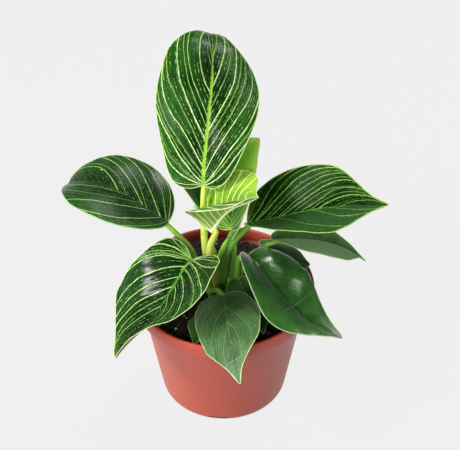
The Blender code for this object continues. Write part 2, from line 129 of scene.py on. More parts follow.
class Paint:
    """A material in the making: colours laid over each other, then a skin."""

    def __init__(self, name: str, ground: str) -> None:
        """Start a material of one colour.

        Args:
            name: The finish in a maker's words.
            ground: The lowest colour, as six hex digits.
        """
        self.material = bpy.data.materials.new(name)
        self.material.use_nodes = True
        self.tree = self.material.node_tree
        self.tree.nodes.clear()
        self.place = add(self.tree, "TexCoord").outputs["Object"]
        self.colour: Any = from_hex(ground)

    def lay(self, hue: str, value: Any, span: Pair = (0.0, 1.0),
            strength: tuple[Any, Any] = (0.0, 1.0)) -> None:
        """Lay a colour over the others, as strongly as a value says.

        Args:
            hue: The colour, as six hex digits.
            value: The socket or node that decides.
            span: Two of its values.
            strength: How strong the colour is at these two.
        """
        mask = add(self.tree, "MapRange", (value, *span, *strength))
        self.colour = add(self.tree, "Mix", {0: mask, 6: self.colour, 7: from_hex(hue)}, data_type="RGBA")

    def spot(self, mark: Mark, core: float) -> None:
        """Lay a spot over the others, soft toward its edge.

        Args:
            mark: The spot.
            core: Share of its radius at which it starts to fade.
        """
        centre = tuple(c * MM for c in mark.place)
        far = add(self.tree, "VectorMath", (self.place, centre), operation="DISTANCE")
        reach = mark.radius * MM
        self.lay(mark.colour, far, (reach * core, reach), (mark.strength, 0.0))

    def finish(self, skin: dict[str, Any]) -> bpy.types.Material:
        """Close the material with a shader.

        Args:
            skin: The shader's inputs, by name.

        Returns:
            The finished material.
        """
        shader = add(self.tree, "BsdfPrincipled", {"Base Color": self.colour, **skin})
        add(self.tree, "OutputMaterial", (shader,))
        return self.material


def mesh_object(name: str, points: np.ndarray, faces: Iterable[Sequence[int]],
                paints: Sequence[bpy.types.Material], slots: Sequence[int] | None = None,
                attributes: dict[str, np.ndarray] | None = None) -> bpy.types.Object:
    """Make a smooth mesh object in metres, with its place in its mesh.

    Args:
        name: The piece's name.
        points: Vertices in millimetres.
        faces: Vertex numbers of each face.
        paints: Materials, in the order of their slots.
        slots: Material slot of each face, or None for the first.
        attributes: Three numbers for each vertex.

    Returns:
        The new object, linked to the scene.
    """
    mesh = bpy.data.meshes.new(name)
    mesh.from_pydata((np.asarray(points) * MM).tolist(), [], [tuple(int(i) for i in f) for f in faces])
    for paint in paints:
        mesh.materials.append(paint)
    if slots is not None:
        mesh.polygons.foreach_set("material_index", np.asarray(slots, np.int32))
    for key, values in (attributes or {}).items():
        layer = mesh.attributes.new(key, "FLOAT_VECTOR", "POINT")
        layer.data.foreach_set("vector", np.asarray(values, np.float32).ravel())
    mesh.shade_smooth()
    mesh.update()
    thing = bpy.data.objects.new(name, mesh)
    bpy.context.scene.collection.objects.link(thing)
    return thing


def applied(thing: bpy.types.Object) -> None:
    """Turn an object with a modifier into the plain mesh that it shows.

    Args:
        thing: The object, which keeps its name and place.
    """
    bpy.context.view_layer.update()
    ready = thing.evaluated_get(bpy.context.evaluated_depsgraph_get())
    mesh = bpy.data.meshes.new_from_object(ready)
    thing.modifiers.clear()
    thing.data = mesh


def turn_outward(thing: bpy.types.Object) -> None:
    """Merge doubles and point every face of a closed mesh outwards.

    Args:
        thing: The object whose mesh is changed.
    """
    work = bmesh.new()
    work.from_mesh(thing.data)
    bmesh.ops.remove_doubles(work, verts=work.verts, dist=1e-7)
    bmesh.ops.recalc_face_normals(work, faces=work.faces)
    if work.calc_volume(signed=True) < 0:
        bmesh.ops.reverse_faces(work, faces=work.faces)
    work.to_mesh(thing.data)
    work.free()


def turned(profile: Sequence[Pair], sides: int, x: float = 0.0,
           y: float = 0.0) -> tuple[list[Point], list[list[int]]]:
    """Turn a profile of (radius, height) round an upright axis.

    Args:
        profile: The places; one of radius 0 gives a single vertex.
        sides: Vertices in a ring.
        x: Place of the axis.
        y: Place of the axis.

    Returns:
        The vertices, and the vertex numbers of each ring.
    """
    points: list[Point] = []
    rows: list[list[int]] = []
    for radius, height in profile:
        count = sides if radius else 1
        rows.append([len(points) + k % count for k in range(sides)])
        for k in range(count):
            turn = 2 * math.pi * k / sides
            points.append((x + radius * math.cos(turn), y + radius * math.sin(turn), height))
    return points, rows


def loft(rows: Rows) -> list[tuple[int, ...]]:
    """Join rings of vertices into a skin.

    Args:
        rows: The vertex numbers of each ring, from one end to the other.

    Returns:
        The faces between the rings, and a cap on each open end.
    """
    faces: list[tuple[int, ...]] = []
    for low, high in zip(rows, rows[1:]):
        for k in range(len(low)):
            n = (k + 1) % len(low)
            faces.append(tuple(dict.fromkeys((low[k], low[n], high[n], high[k]))))
    caps = (tuple(reversed(rows[0])), tuple(rows[-1]))
    return faces + [cap for cap in caps if len(set(cap)) > 1]


def unit(vectors: np.ndarray) -> np.ndarray:
    """Return the vectors with length 1."""
    return vectors / np.maximum(np.linalg.norm(vectors, axis=-1, keepdims=True), 1e-12)


def cubic(values: Sequence[float], v: np.ndarray) -> np.ndarray:
    """Follow the smooth curve through four values at 0, 1/3, 2/3 and 1.

    Args:
        values: The four values.
        v: Where to read the curve, from 0 to 1.

    Returns:
        The curve's value at each v.
    """
    a, b, c, d = values
    x = 3.0 * v
    near, far = (1 - x) * (2 - x) * (3 - x) / 6, x * (x - 1) * (x - 2) / 6
    return a * near + b * x * (2 - x) * (3 - x) / 2 + c * x * (x - 1) * (3 - x) / 2 + d * far


def smoothstep(low: float, high: float, value: np.ndarray) -> np.ndarray:
    """Return 0 below low, 1 above high and a soft step between."""
    t = np.clip((value - low) / (high - low), 0, 1)
    return t * t * (3 - 2 * t)


def smooth_path(points: Sequence[Point], values: Sequence[float],
                steps: int) -> tuple[np.ndarray, np.ndarray]:
    """Return a rounded path through points, with the values along it.

    Args:
        points: Places that the path passes through.
        values: One number for each place.
        steps: Pieces between two places.

    Returns:
        The path's points and its values.
    """
    data = np.column_stack([np.array(points, float), np.array(values, float)])
    ends = np.vstack([2 * data[0] - data[1], data, 2 * data[-1] - data[-2]])
    out = []
    for k in range(1, len(ends) - 2):
        p0, p1, p2, p3 = ends[k - 1:k + 3]
        for t in np.linspace(0, 1, steps, endpoint=False):
            out.append(0.5 * (2 * p1 + (p2 - p0) * t + (2 * p0 - 5 * p1 + 4 * p2 - p3) * t ** 2
                              + (3 * p1 - p0 - 3 * p2 + p3) * t ** 3))
    rounded = np.array(out + [data[-1]])
    return rounded[:, :3], rounded[:, 3]


class Side(Enum):
    """The two halves of a blade, as seen from the stalk looking to the tip."""

    LEFT = 0
    RIGHT = 1

    @property
    def sign(self) -> int:
        """Return -1 for the left half and 1 for the right one."""
        return 2 * self.value - 1


@dataclass(frozen=True)
class Fold:
    """A raised fold or swelling in a blade, from start to end in flat millimetres.

    The first number is the distance from the midrib, left negative, and the
    second the distance from the blade's base.  A bruised fold also has a colour.
    """

    start: Pair
    end: Pair
    height: float
    reach: float
    colour: str = "A9B98C"
    strength: float = 0.0

    def axes(self) -> tuple[np.ndarray, np.ndarray, float]:
        """Work out the fold's own directions.

        Returns:
            The unit vectors along and across the fold, and its length.
        """
        run = np.array(self.end) - np.array(self.start)
        length = float(np.hypot(*run))
        along = run / length
        return along, np.array([-along[1], along[0]]), length

    def relief(self, flat: np.ndarray) -> np.ndarray:
        """Work out how far the fold lifts the blade.

        Args:
            flat: Flat places in millimetres.

        Returns:
            The lift at each place, in millimetres.
        """
        along, across, length = self.axes()
        place = flat[..., :2] - np.array(self.start)
        past = np.maximum(np.abs((place @ along) - length / 2) - length / 2, 0.0)
        far = np.hypot(place @ across, past)
        return self.height * np.exp(-(far / self.reach) ** 2)

    def bruise(self, paint: Paint, flat: bpy.types.NodeSocket) -> None:
        """Lay the fold's colour along its line, 1 mm wide at most.

        Args:
            paint: The blade's material in the making.
            flat: Socket of the flat place in millimetres.
        """
        along, across, length = self.axes()
        tree = paint.tree
        place = add(tree, "VectorMath", (flat, (*self.start, 0.0)), operation="SUBTRACT")
        off, on = (add(tree, "VectorMath", (place, (*axis, 0.0)), operation="DOT_PRODUCT")
                   for axis in (across, along))
        line = add(tree, "MapRange", (add(tree, "Math", (off,), operation="ABSOLUTE"),
                                      0.1, 0.5, self.strength, 0.0))
        ends = add(tree, "Math", (on, length / 2, length / 2), operation="COMPARE")
        paint.lay(self.colour, ends, strength=(0.0, line))


def blade_numbers(tree: bpy.types.NodeTree) -> tuple[Any, ...]:
    """Return the sockets of a blade's own numbers.

    Args:
        tree: The material's node tree.

    Returns:
        The flat place in millimetres; its three parts, the last from 0 at the base
        to 1 at the tip; the place among the side veins, the share of the way to the
        margin and their spacing; and the distance to the next stripe, its level and
        the distance to the margin.
    """
    flat, vein, stripe = (add(tree, "Attribute", attribute_name=name).outputs["Vector"]
                          for name in ("flat", "vein", "stripe"))
    return (flat, *(add(tree, "SeparateXYZ", (socket,)).outputs for socket in (flat, vein, stripe)))


@dataclass(frozen=True)
class BladeFinish:
    """Upper and lower skin of a philodendron leaf.

    A waxy, smooth leaf skin: a clear soft gloss over a deep green, with the pale
    side veins drawn as pinstripes and broken flecks between them.
    """

    name: str
    deep: str
    fresh: str
    core: str
    halo: str
    rib: str
    margin: str
    line: str = "8FBF5C"
    under: str = "6C8F57"
    under_vein: str = "A9C583"
    under_line: str = "4F7A3C"
    under_lines: float = 0.15
    foot: str = ""
    # Colour of painted light over the right half: a grey sheen on some blades, shade on the young one.
    painted_half_light: str = ""
    stripe: float = 0.9
    lines: float = 0.5
    line_count: float = 27.0
    flecks: float = 0.5
    rib_base: float = 1.3
    rib_tip: float = 0.35
    rib_fade: float = 0.9
    gloss: float = 0.28
    shine: float = 0.45
    ribbing: float = 0.08
    glow: float = 0.0
    glow_depth: float = 1.0
    marks: tuple[Mark, ...] = ()
    folds: tuple[Fold, ...] = ()

    # Soft edges in millimetres, inward from an edge: where a colour starts and where it is full.
    HALO_EDGE = (-0.28, 0.05)
    CORE_EDGE = (-0.02, 0.22)
    LINE_EDGE = (-0.06, 0.1)
    RIB_EDGE = (-0.15, 0.3)
    VEIN_EDGE = (-0.25, 0.1)
    # Millimetres from the margin where its pale band starts to fade and where it ends.
    MARGIN = (0.35, 0.60)
    UNDER_MARGIN = (0.35, 0.65)
    # Half widths in millimetres where the noise is low and high.  A line below 0 is a gap.
    STRIPE_HALF = (0.16, 0.46)
    LINE_HALF = (-0.1, 0.2)
    VEIN_HALF = 0.24
    UNDER_RIB = (0.7, 1.5)
    RAGGED = (0.45, 1.35)
    # Noise between the gaps and the widest dashes of a line, and where flecks start and are full.
    DASHES = (0.42, 0.64)
    FLECKS = (0.70, 0.80)
    SPOT_CORE = 0.5
    # How much fresher the margin is than the midrib, and where deep and fresh are pure.
    FRESHER = 0.45
    FRESH = (0.92, 1.55)
    # Shares of the blade over which its foot's colour and its midrib fade, and what the midrib keeps.
    FOOT = (0.15, 0.6)
    RIB_FADING = 0.35
    RIB_KEPT = 0.15
    # Strengths of the painted light over one half (a grey sheen on some blades, shade on the young one),
    # the underside's streaks and its veins.
    PAINTED_HALF_LIGHT = 0.85
    UNDER_STREAKS = 0.35
    VEINS = 0.9
    # Strength and depth in millimetres of each skin's relief.
    UPPER_RELIEF = (0.35, 0.12)
    LOWER_RELIEF = (0.3, 0.1)
    # Radians of the sunken veins along the vein net.
    RIBBING_TURNS = 190.0

    def skin(self, tree: bpy.types.NodeTree, height: Any, strength: float, depth: float) -> dict[str, Any]:
        """Put together the shader inputs that both skins share.

        Args:
            tree: The material's node tree.
            height: Socket or node of the relief.
            strength: How strongly the relief tilts the surface.
            depth: Depth of the relief in millimetres.

        Returns:
            The inputs, by name.
        """
        bump = add(tree, "Bump", {"Height": height, "Strength": strength, "Distance": depth * MM})
        return {"IOR": 1.45, "Normal": bump, "Subsurface Weight": self.glow,
                "Subsurface Radius": (1.0, 1.4, 0.3), "Subsurface Scale": self.glow_depth * MM}

    def upper(self) -> bpy.types.Material:
        """Make the upper skin, with its stripes, broken lines, midrib and margin.

        Returns:
            The finished material.
        """
        paint = Paint(f"{self.name} upper leaf skin", self.deep)
        tree = paint.tree
        flat, (aside, _, outward), (across, run, pitch), (gap, level, edge) = blade_numbers(tree)
        half = add(tree, "Math", (aside, 0.0), operation="GREATER_THAN")
        net = add(tree, "CombineXYZ", (across, run, half))

        # Noise stretched along the side veins, as cells of the vein net, detail and roughness:
        # streaks of 1 by 8 mm, the dashes of lines, flecks of 0.3 by 1 mm, and uneven stripes.
        kinds = (((70.0, 5.0, 7.3), 2.0, 0.5), ((1.6 * self.line_count, 32.0, 1.0), 3.0, 0.65),
                 ((110.0, 34.0, 3.7), 1.0, 0.5), ((9.0, 22.0, 1.0), 3.0, 0.5))
        streaks, dashes, flecks, swell = (
            add(tree, "TexNoise", {"Vector": add(tree, "VectorMath", (net, cells), operation="MULTIPLY"),
                                   "Scale": 1.0, "Detail": detail, "Roughness": roughness})
            for cells, detail, roughness in kinds)

        # The blade is darkest beside the midrib and fresher toward the margin.
        clouds = add(tree, "TexNoise", {"Vector": flat, "Scale": 0.07, "Detail": 1.0})
        uneven = add(tree, "Math", (streaks, clouds), operation="ADD")
        toned = add(tree, "Math", (run, self.FRESHER, uneven), operation="MULTIPLY_ADD")
        paint.lay(self.fresh, toned, self.FRESH)
        if self.foot:
            paint.lay(self.foot, outward, self.FOOT, (1.0, 0.0))
        # Painted light over the right half: a grey sheen on some blades, shade on the young one.
        if self.painted_half_light:
            paint.lay(self.painted_half_light, half, strength=(0.0, self.PAINTED_HALF_LIGHT))

        # Thin broken lines between the stripes, one every 3 to 4 mm and 0.4 mm wide.
        pace = 2.0 * self.line_count
        wave = add(tree, "Math", (add(tree, "Math", (across, pace), operation="MULTIPLY"), 1.0),
                   operation="PINGPONG")
        far = add(tree, "Math", (add(tree, "Math", (wave, pitch), operation="MULTIPLY"), pace),
                  operation="DIVIDE")
        width = add(tree, "MapRange", (dashes, *self.DASHES, *self.LINE_HALF))
        inside = add(tree, "Math", (width, far), operation="SUBTRACT")
        paint.lay(self.line, inside, self.LINE_EDGE, (0.0, self.lines))
        paint.lay(self.core, flecks, self.FLECKS, (0.0, self.flecks))

        # Strong stripes: a pale core with a greener edge, their width a little uneven.
        halves = (half_width * self.stripe for half_width in self.STRIPE_HALF)
        width = add(tree, "MapRange", (swell, *NOISE, *halves))
        shown = add(tree, "Math", (width, level), operation="MULTIPLY")
        inside = add(tree, "Math", (shown, gap), operation="SUBTRACT")
        paint.lay(self.halo, inside, self.HALO_EDGE)
        paint.lay(self.core, inside, self.CORE_EDGE)

        # Midrib, wide at the stalk and fine at the tip, its edges ragged in steps of 1.5 mm.
        width = add(tree, "MapRange", (outward, 0.0, 1.0, self.rib_base, self.rib_tip))
        cells = add(tree, "TexNoise", {"Vector": flat, "Scale": 0.65, "Detail": 3.0})
        ragged = add(tree, "Math", (width, add(tree, "MapRange", (cells, 0.35, 0.65, *self.RAGGED))),
                     operation="MULTIPLY")
        far = add(tree, "Math", (aside,), operation="ABSOLUTE")
        inside = add(tree, "Math", (ragged, far), operation="SUBTRACT")
        shown = add(tree, "MapRange", (outward, self.rib_fade - self.RIB_FADING, self.rib_fade,
                                       1.0, self.RIB_KEPT))
        paint.lay(self.rib, inside, self.RIB_EDGE, (0.0, shown))
        paint.lay(self.margin, edge, self.MARGIN, (1.0, 0.0))
        for mark in self.marks:
            paint.spot(mark, self.SPOT_CORE)
        for fold in self.folds:
            if fold.strength:
                fold.bruise(paint, flat)

        # Skin: sunken side veins every 3 mm and fine grain of 0.4 mm.
        turns = add(tree, "Math", (across, self.RIBBING_TURNS), operation="MULTIPLY")
        ribbing = add(tree, "Math", (turns,), operation="SINE")
        grain = add(tree, "TexNoise", {"Vector": flat, "Scale": 2.4, "Detail": 2.0})
        height = add(tree, "Math", (ribbing, self.ribbing, grain), operation="MULTIPLY_ADD")
        rough = add(tree, "MapRange", (streaks, *NOISE, self.gloss - 0.05, self.gloss + 0.07))
        return paint.finish({"Roughness": rough, "Specular IOR Level": self.shine,
                             **self.skin(tree, height, *self.UPPER_RELIEF)})

    def lower(self) -> bpy.types.Material:
        """Make the paler, duller underside.

        Returns:
            The finished material.
        """
        paint = Paint(f"{self.name} leaf underside", self.under)
        tree = paint.tree
        flat, (aside, _, _), (across, run, _), (gap, level, edge) = blade_numbers(tree)
        # Fresher streaks of about 2 by 8 mm along the side veins.
        cells = add(tree, "VectorMath", (add(tree, "CombineXYZ", (across, run)), (60.0, 4.0, 0.0)),
                    operation="MULTIPLY")
        streaks = add(tree, "TexNoise", {"Vector": cells, "Scale": 1.0, "Detail": 2.0})
        paint.lay(self.fresh, streaks, NOISE, (0.0, self.UNDER_STREAKS))
        # Thin darker lines between the veins, one every 2 to 3 mm.
        turns = add(tree, "Math", (across, 2 * math.pi * self.line_count), operation="MULTIPLY")
        wave = add(tree, "Math", (turns,), operation="SINE")
        paint.lay(self.under_line, wave, (0.1, 0.9), (0.0, self.under_lines))
        # Veins 0.5 mm wide at full strength, and a midrib of 2 mm.
        shown = add(tree, "Math", (level, self.VEIN_HALF * self.stripe), operation="MULTIPLY")
        inside = add(tree, "Math", (shown, gap), operation="SUBTRACT")
        paint.lay(self.under_vein, inside, self.VEIN_EDGE, (0.0, self.VEINS))
        far = add(tree, "Math", (aside,), operation="ABSOLUTE")
        paint.lay(self.under_vein, far, self.UNDER_RIB, (1.0, 0.0))
        paint.lay(self.margin, edge, self.UNDER_MARGIN, (1.0, 0.0))
        grain = add(tree, "TexNoise", {"Vector": flat, "Scale": 2.0, "Detail": 2.0})
        return paint.finish({"Roughness": 0.5, **self.skin(tree, grain, *self.LOWER_RELIEF)})


@dataclass(frozen=True)
class Stripe:
    """One strong pinstripe among the side veins.

    The four places are where it lies at the midrib, one third, two thirds of the
    way out and at the margin, each from 0 at the blade's base to 1 at its tip.
    """

    places: tuple[float, ...]
    level: float


def stripes(*rows: tuple[float, ...]) -> tuple[Stripe, ...]:
    """Return a stripe for each row of four places and a level."""
    return tuple(Stripe(row[:4], row[4]) for row in rows)


@dataclass(frozen=True)
class Blade:
    """One leaf blade, described in the same terms as the solid that it stands for.

    Pairs are (left, right).  The four numbers of lift, heading and roll are the
    angles at the base, one third, two thirds and the tip of the midrib.
    """

    node: str
    base: Point
    length: float
    width: float
    lift: tuple[float, ...]
    heading: tuple[float, ...]
    roll: tuple[float, ...]
    fold: Pair
    curl: Pair
    finish: BladeFinish
    widest: float = 0.44
    lobe: float = 0.03
    taper: float = 0.6
    point: float = 0.12
    share: Pair = (1.0, 1.0)
    skew: float = 0.0
    fold_tip: tuple[float, ...] = ()
    curl_tip: tuple[float, ...] = ()
    stripes: tuple[tuple[Stripe, ...], ...] = ((), ())
    rows: int = 90
    columns: int = 24
    quilt: float = 0.05
    ripple: float = 0.25

    # The blade thins over its last EDGE_TAPER mm, and the midrib loses RIB_FADE of its size by the tip.
    THICKNESS = 0.7
    EDGE_THICKNESS = 0.34
    EDGE_TAPER = 6.0
    RIB_WIDTH = 1.1
    RIB_GROOVE = 0.3
    RIB_KEEL = 0.9
    RIB_FADE = 0.7
    MIDRIB_STEPS = 200
    OUTLINE_STEPS = 4000
    LOBE_END = 0.32
    # Side veins fan out of the base up to FAN_END of the blade, then leave the midrib.
    FAN_END = 0.42
    FAN_SPREAD = 0.03
    RUSH = 5.6
    TIP_CROWDING = 2.5
    EVENNESS = 0.55
    # How far along and how far out a side vein bows, near the base and above it.
    BOW = 0.43
    LOW_BOW = 0.7
    HIGH_BOW = 0.8
    BOW_LOSS = 0.15
    BOW_CHANGE = (0.30, 0.55)
    COLUMN_PULL = 0.8
    # Room of a stripe in the net, and the least room of another row beside it.
    STRIPE_ROOM = 0.010
    ROW_ROOM = 0.0045
    LEAST_STEP = 0.0004
    END_ROOM = 0.002
    # Sways of a stripe: radians along it, from one to the next, and share.
    STRIPE_SWAY = 0.002
    SWAYS = ((15, 40, 1.0), (31, 70, 0.6))
    # Swellings: radians along the vein net, and across and along in each millimetre.
    QUILT_TURNS = 150.0
    LONG_RIPPLE = (0.24, 0.21)
    SHORT_RIPPLE = (-0.31, 0.47)
    RIPPLE_PHASE = 0.37
    CALM_RIB = 4.0
    CALM_EDGE = 1.5
    CALM_RIPPLE = 10.0
    FAR = 9.0
    TINY = 0.002

    def directions(self, v: np.ndarray) -> tuple[np.ndarray, np.ndarray, np.ndarray]:
        """Work out how the blade lies along its midrib.

        Args:
            v: Places on the midrib, from 0 at the base to 1 at the tip.

        Returns:
            The unit vectors along, out of and across the blade at each place.
        """
        pitch = np.radians(cubic(self.lift, v))
        turn = np.radians(cubic(self.heading, v))
        roll = np.radians(cubic(self.roll, v))[..., None]
        cp, sp, ct, st = np.cos(pitch), np.sin(pitch), np.cos(turn), np.sin(turn)
        along = np.stack([cp * ct, cp * st, sp], -1)
        out = np.stack([-sp * ct, -sp * st, cp], -1)
        across = np.cross(along, out)
        return along, out * np.cos(roll) + across * np.sin(roll), across * np.cos(roll) - out * np.sin(roll)

    def outline(self, tau: np.ndarray, widest: float) -> tuple[np.ndarray, np.ndarray]:
        """Trace the flat outline of one half.

        Args:
            tau: Places on the margin, from 0 at the base to 1 at the tip.
            widest: Where the half is widest, as a share of the blade's length.

        Returns:
            The half width (0 to 0.5) and the distance along the midrib.
        """
        turn = math.pi * tau
        y = ((1 - np.cos(turn)) / 2) ** (math.log(widest) / math.log(0.5))
        x = np.sin(turn) * (1 - self.taper * smoothstep(1 - 3 * self.point, 1.0, y))
        return x / 2, y - self.lobe * np.sin(math.pi * np.clip(tau / self.LOBE_END, 0, 1))

    def surface(self, x: np.ndarray, y: np.ndarray, side: Side) -> np.ndarray:
        """Return the middle surface at flat places of one half.

        Args:
            x: Distance from the midrib, in blade widths.
            y: Distance from the base, in blade lengths.
            side: The half of the blade.

        Returns:
            Points in millimetres.
        """
        index, steps = side.value, self.MIDRIB_STEPS
        along, _, _ = self.directions((np.arange(steps) + 0.5) / steps)
        midrib = np.vstack([[0, 0, 0], np.cumsum(along, 0) * self.length / steps]) + self.base
        v = np.clip(y, 0, 1)
        place = v * steps
        low = np.clip(place.astype(int), 0, steps - 1)
        part = (place - low)[..., None]
        spine = midrib[low] * (1 - part) + midrib[low + 1] * part
        along, out, across = self.directions(v)
        spine = spine + along * ((y - v) * self.length)[..., None]
        fold_tip = (self.fold_tip or self.fold)[index]
        curl_tip = (self.curl_tip or self.curl)[index]
        fold = np.radians(self.fold[index] + (fold_tip - self.fold[index]) * v)
        curl = np.radians(self.curl[index] + (curl_tip - self.curl[index]) * v) / (self.width / 2)
        curl = np.where(np.abs(curl) < 1e-6, 1e-6, curl)
        end = fold - curl * x * self.width * self.share[index]
        sideways = (np.sin(fold) - np.sin(end)) / curl
        upward = (np.cos(end) - np.cos(fold)) / curl
        return spine + across * (side.sign * sideways)[..., None] + out * upward[..., None]

    def row_places(self) -> np.ndarray:
        """Place the mesh's rows, close together at each stripe.

        Returns:
            The vein place of each row, from 0 to 1.
        """
        room = self.STRIPE_ROOM
        middles = sorted({stripe.places[0] for half in self.stripes for stripe in half})
        extra = [place + step for place in middles for step in (-room, 0.0, room)]
        plain = [place for place in np.linspace(0, 1, self.rows + 1)
                 if all(abs(place - other) > self.ROW_ROOM for other in extra) or place in (0.0, 1.0)]
        extra = [place for place in extra if self.END_ROOM < place < 1 - self.END_ROOM]
        kept = [0.0]
        for place in sorted({*plain, *extra}):
            if place - kept[-1] > self.LEAST_STEP:
                kept.append(place)
        return np.array(kept)

    def slide(self, rows: np.ndarray, runs: np.ndarray, side: Side) -> np.ndarray:
        """Slide the rows along the blade, so that each stripe has a row of its own.

        Args:
            rows: Vein places of the rows at the midrib.
            runs: Places of the columns, from 0 at the midrib to 1 at the margin.
            side: The half of the blade.

        Returns:
            The vein place of each row at each column.
        """
        lines = sorted((stripe.places for stripe in self.stripes[side.value]), key=lambda line: line[0])
        before = [0.0] + [line[0] for line in lines] + [1.0]
        places = np.empty((len(rows), len(runs)))
        for column, run in enumerate(runs):
            sway = self.STRIPE_SWAY * 4 * run * (1 - run)
            after = [float(cubic(line, run)) + sway * sum(share * math.sin(turn * run + shift * line[0])
                                                          for turn, shift, share in self.SWAYS)
                     for line in lines]
            places[:, column] = np.interp(rows, before, [0.0] + after + [1.0])
        return places

    def vein_ends(self, places: np.ndarray, side: Side) -> tuple[np.ndarray, ...]:
        """Return where each side vein leaves the midrib and meets the margin.

        Args:
            places: Vein places from 0 at the base to 1 at the tip.
            side: The half of the blade.

        Returns:
            The start along the midrib, and the end's half width and distance.
        """
        fine = 1 - (1 - np.linspace(0, 1, self.OUTLINE_STEPS + 1)) ** self.TIP_CROWDING
        _, plain_y = self.outline(fine, self.widest)
        rise = np.clip((plain_y - self.FAN_END) / (1 - self.FAN_END), 0, 1)
        start = self.FAN_SPREAD * fine + (1 - self.FAN_SPREAD) * (1 - (1 - rise) ** (1 / self.RUSH))
        table = self.EVENNESS * fine + (1 - self.EVENNESS) * start
        edge = self.outline(np.interp(places, table, fine), self.widest - side.sign * self.skew)
        return (np.interp(places, table, start), *edge)

    def vein_net(self, places: np.ndarray, runs: np.ndarray, side: Side) -> tuple[np.ndarray, np.ndarray]:
        """Lay a net whose rows are side veins.

        A side vein leaves the midrib at a slant, bows out and sweeps to the tip
        beside the margin, as the pinstripes of the real blade do.

        Args:
            places: The vein place of each row at each column.
            runs: Places of the columns, from 0 at the midrib to 1 at the margin.
            side: The half of the blade.

        Returns:
            Distances from the midrib in blade widths and from the base in blade
            lengths.
        """
        begin, edge_x, edge_y = self.vein_ends(places, side)
        all_x, all_y = self.outline(np.linspace(0, 1, self.OUTLINE_STEPS // 2 + 1),
                                    self.widest - side.sign * self.skew)
        low = int(all_y.argmin())
        bend_y = begin + self.BOW * (edge_y - begin)
        room = np.interp(bend_y, all_y[low:], all_x[low:])
        swing = smoothstep(*self.BOW_CHANGE, edge_y)
        high = (self.HIGH_BOW - self.BOW_LOSS * begin) * room
        bend_x = self.LOW_BOW * edge_x * (1 - swing) + high * swing
        u = runs[None, :]
        x = 2 * u * (1 - u) * bend_x + u * u * edge_x
        y = (1 - u) ** 2 * begin + 2 * u * (1 - u) * bend_y + u * u * edge_y
        return x, y

    def half(self, side: Side) -> dict[str, np.ndarray]:
        """Work out one half of the blade.

        Args:
            side: The half of the blade.

        Returns:
            The points, normals and surface numbers of its net, by name.
        """
        places = self.row_places()
        even = np.linspace(0, 1, self.columns + 1)
        # Columns stand closer at the midrib and the margin.
        runs = even - self.COLUMN_PULL * np.sin(2 * math.pi * even) / (2 * math.pi)
        x, y = self.vein_net(self.slide(places, runs, side), runs, side)
        here = self.surface(x, y, side)
        step_x = self.surface(x + self.TINY, y, side) - here
        step_y = self.surface(x, y + self.TINY, side) - here

        flat = np.stack([x * self.width * self.share[side.value], y * self.length], -1)
        across = np.gradient(flat, places, axis=0)
        tangent = unit(np.gradient(flat, runs, axis=1))
        slide = (across * tangent).sum(-1)[..., None] * tangent
        pitch = np.linalg.norm(across - slide, axis=-1)

        gap, level = np.full(x.shape, self.FAR), np.ones(x.shape)
        steps = np.diff(places)[:, None] * (pitch[1:] + pitch[:-1]) / 2
        travel = np.vstack([np.zeros((1, len(runs))), np.cumsum(steps, 0)])
        for stripe in self.stripes[side.value]:
            far = np.abs(travel - travel[int(np.abs(places - stripe.places[0]).argmin())])
            level = np.where(far < gap, stripe.level, level)
            gap = np.minimum(far, gap)

        edge = np.full(x.shape, self.FAR)
        for a, b in zip(flat[:-1, -1], flat[1:, -1]):
            ab = b - a
            reach = np.clip(((flat - a) @ ab) / max(ab @ ab, 1e-9), 0, 1)
            edge = np.minimum(edge, np.linalg.norm(flat - (a + reach[..., None] * ab), axis=-1))
        edge[:, -1] = 0.0
        return {"points": here, "normal": unit(np.cross(step_x * side.sign, step_y)),
                "vein": np.stack([*np.broadcast_arrays(places[:, None], runs), pitch], -1),
                "flat": np.stack([flat[..., 0] * side.sign, flat[..., 1], np.clip(y, 0, 1)], -1),
                "stripe": np.stack([gap, level, edge], -1)}

    def relief(self, flat: np.ndarray, vein: np.ndarray, edge: np.ndarray) -> np.ndarray:
        """Work out how far the blade's middle surface swells.

        Args:
            flat: Flat places in millimetres.
            vein: Places in the vein net.
            edge: Distances to the margin in millimetres.

        Returns:
            The swelling at each place, in millimetres.
        """
        x, y = flat[..., 0], flat[..., 1]
        calm = smoothstep(0.0, self.CALM_RIB, np.abs(x)) * smoothstep(0.0, self.CALM_EDGE, edge)
        quilt = np.sin(vein[..., 0] * self.QUILT_TURNS) * calm
        phase = self.length * self.RIPPLE_PHASE
        (across, along), (aslant, on) = self.LONG_RIPPLE, self.SHORT_RIPPLE
        ripple = (np.sin(y * along + phase) * np.cos(x * across + phase)
                  + 0.5 * np.sin(y * on + x * aslant + phase))
        ripple *= smoothstep(0.0, self.CALM_RIPPLE, np.abs(x))
        folds = sum(fold.relief(flat) for fold in self.finish.folds)
        return self.quilt * quilt + self.ripple * ripple + folds

    def build(self) -> bpy.types.Object:
        """Build the closed blade.

        Returns:
            The blade's piece.
        """
        left, right = self.half(Side.LEFT), self.half(Side.RIGHT)
        net = {key: np.concatenate([left[key][:, ::-1], right[key][:, 1:]], axis=1) for key in left}
        middle = self.columns
        net["normal"][:, middle] = unit(left["normal"][:, 0] + right["normal"][:, 0])
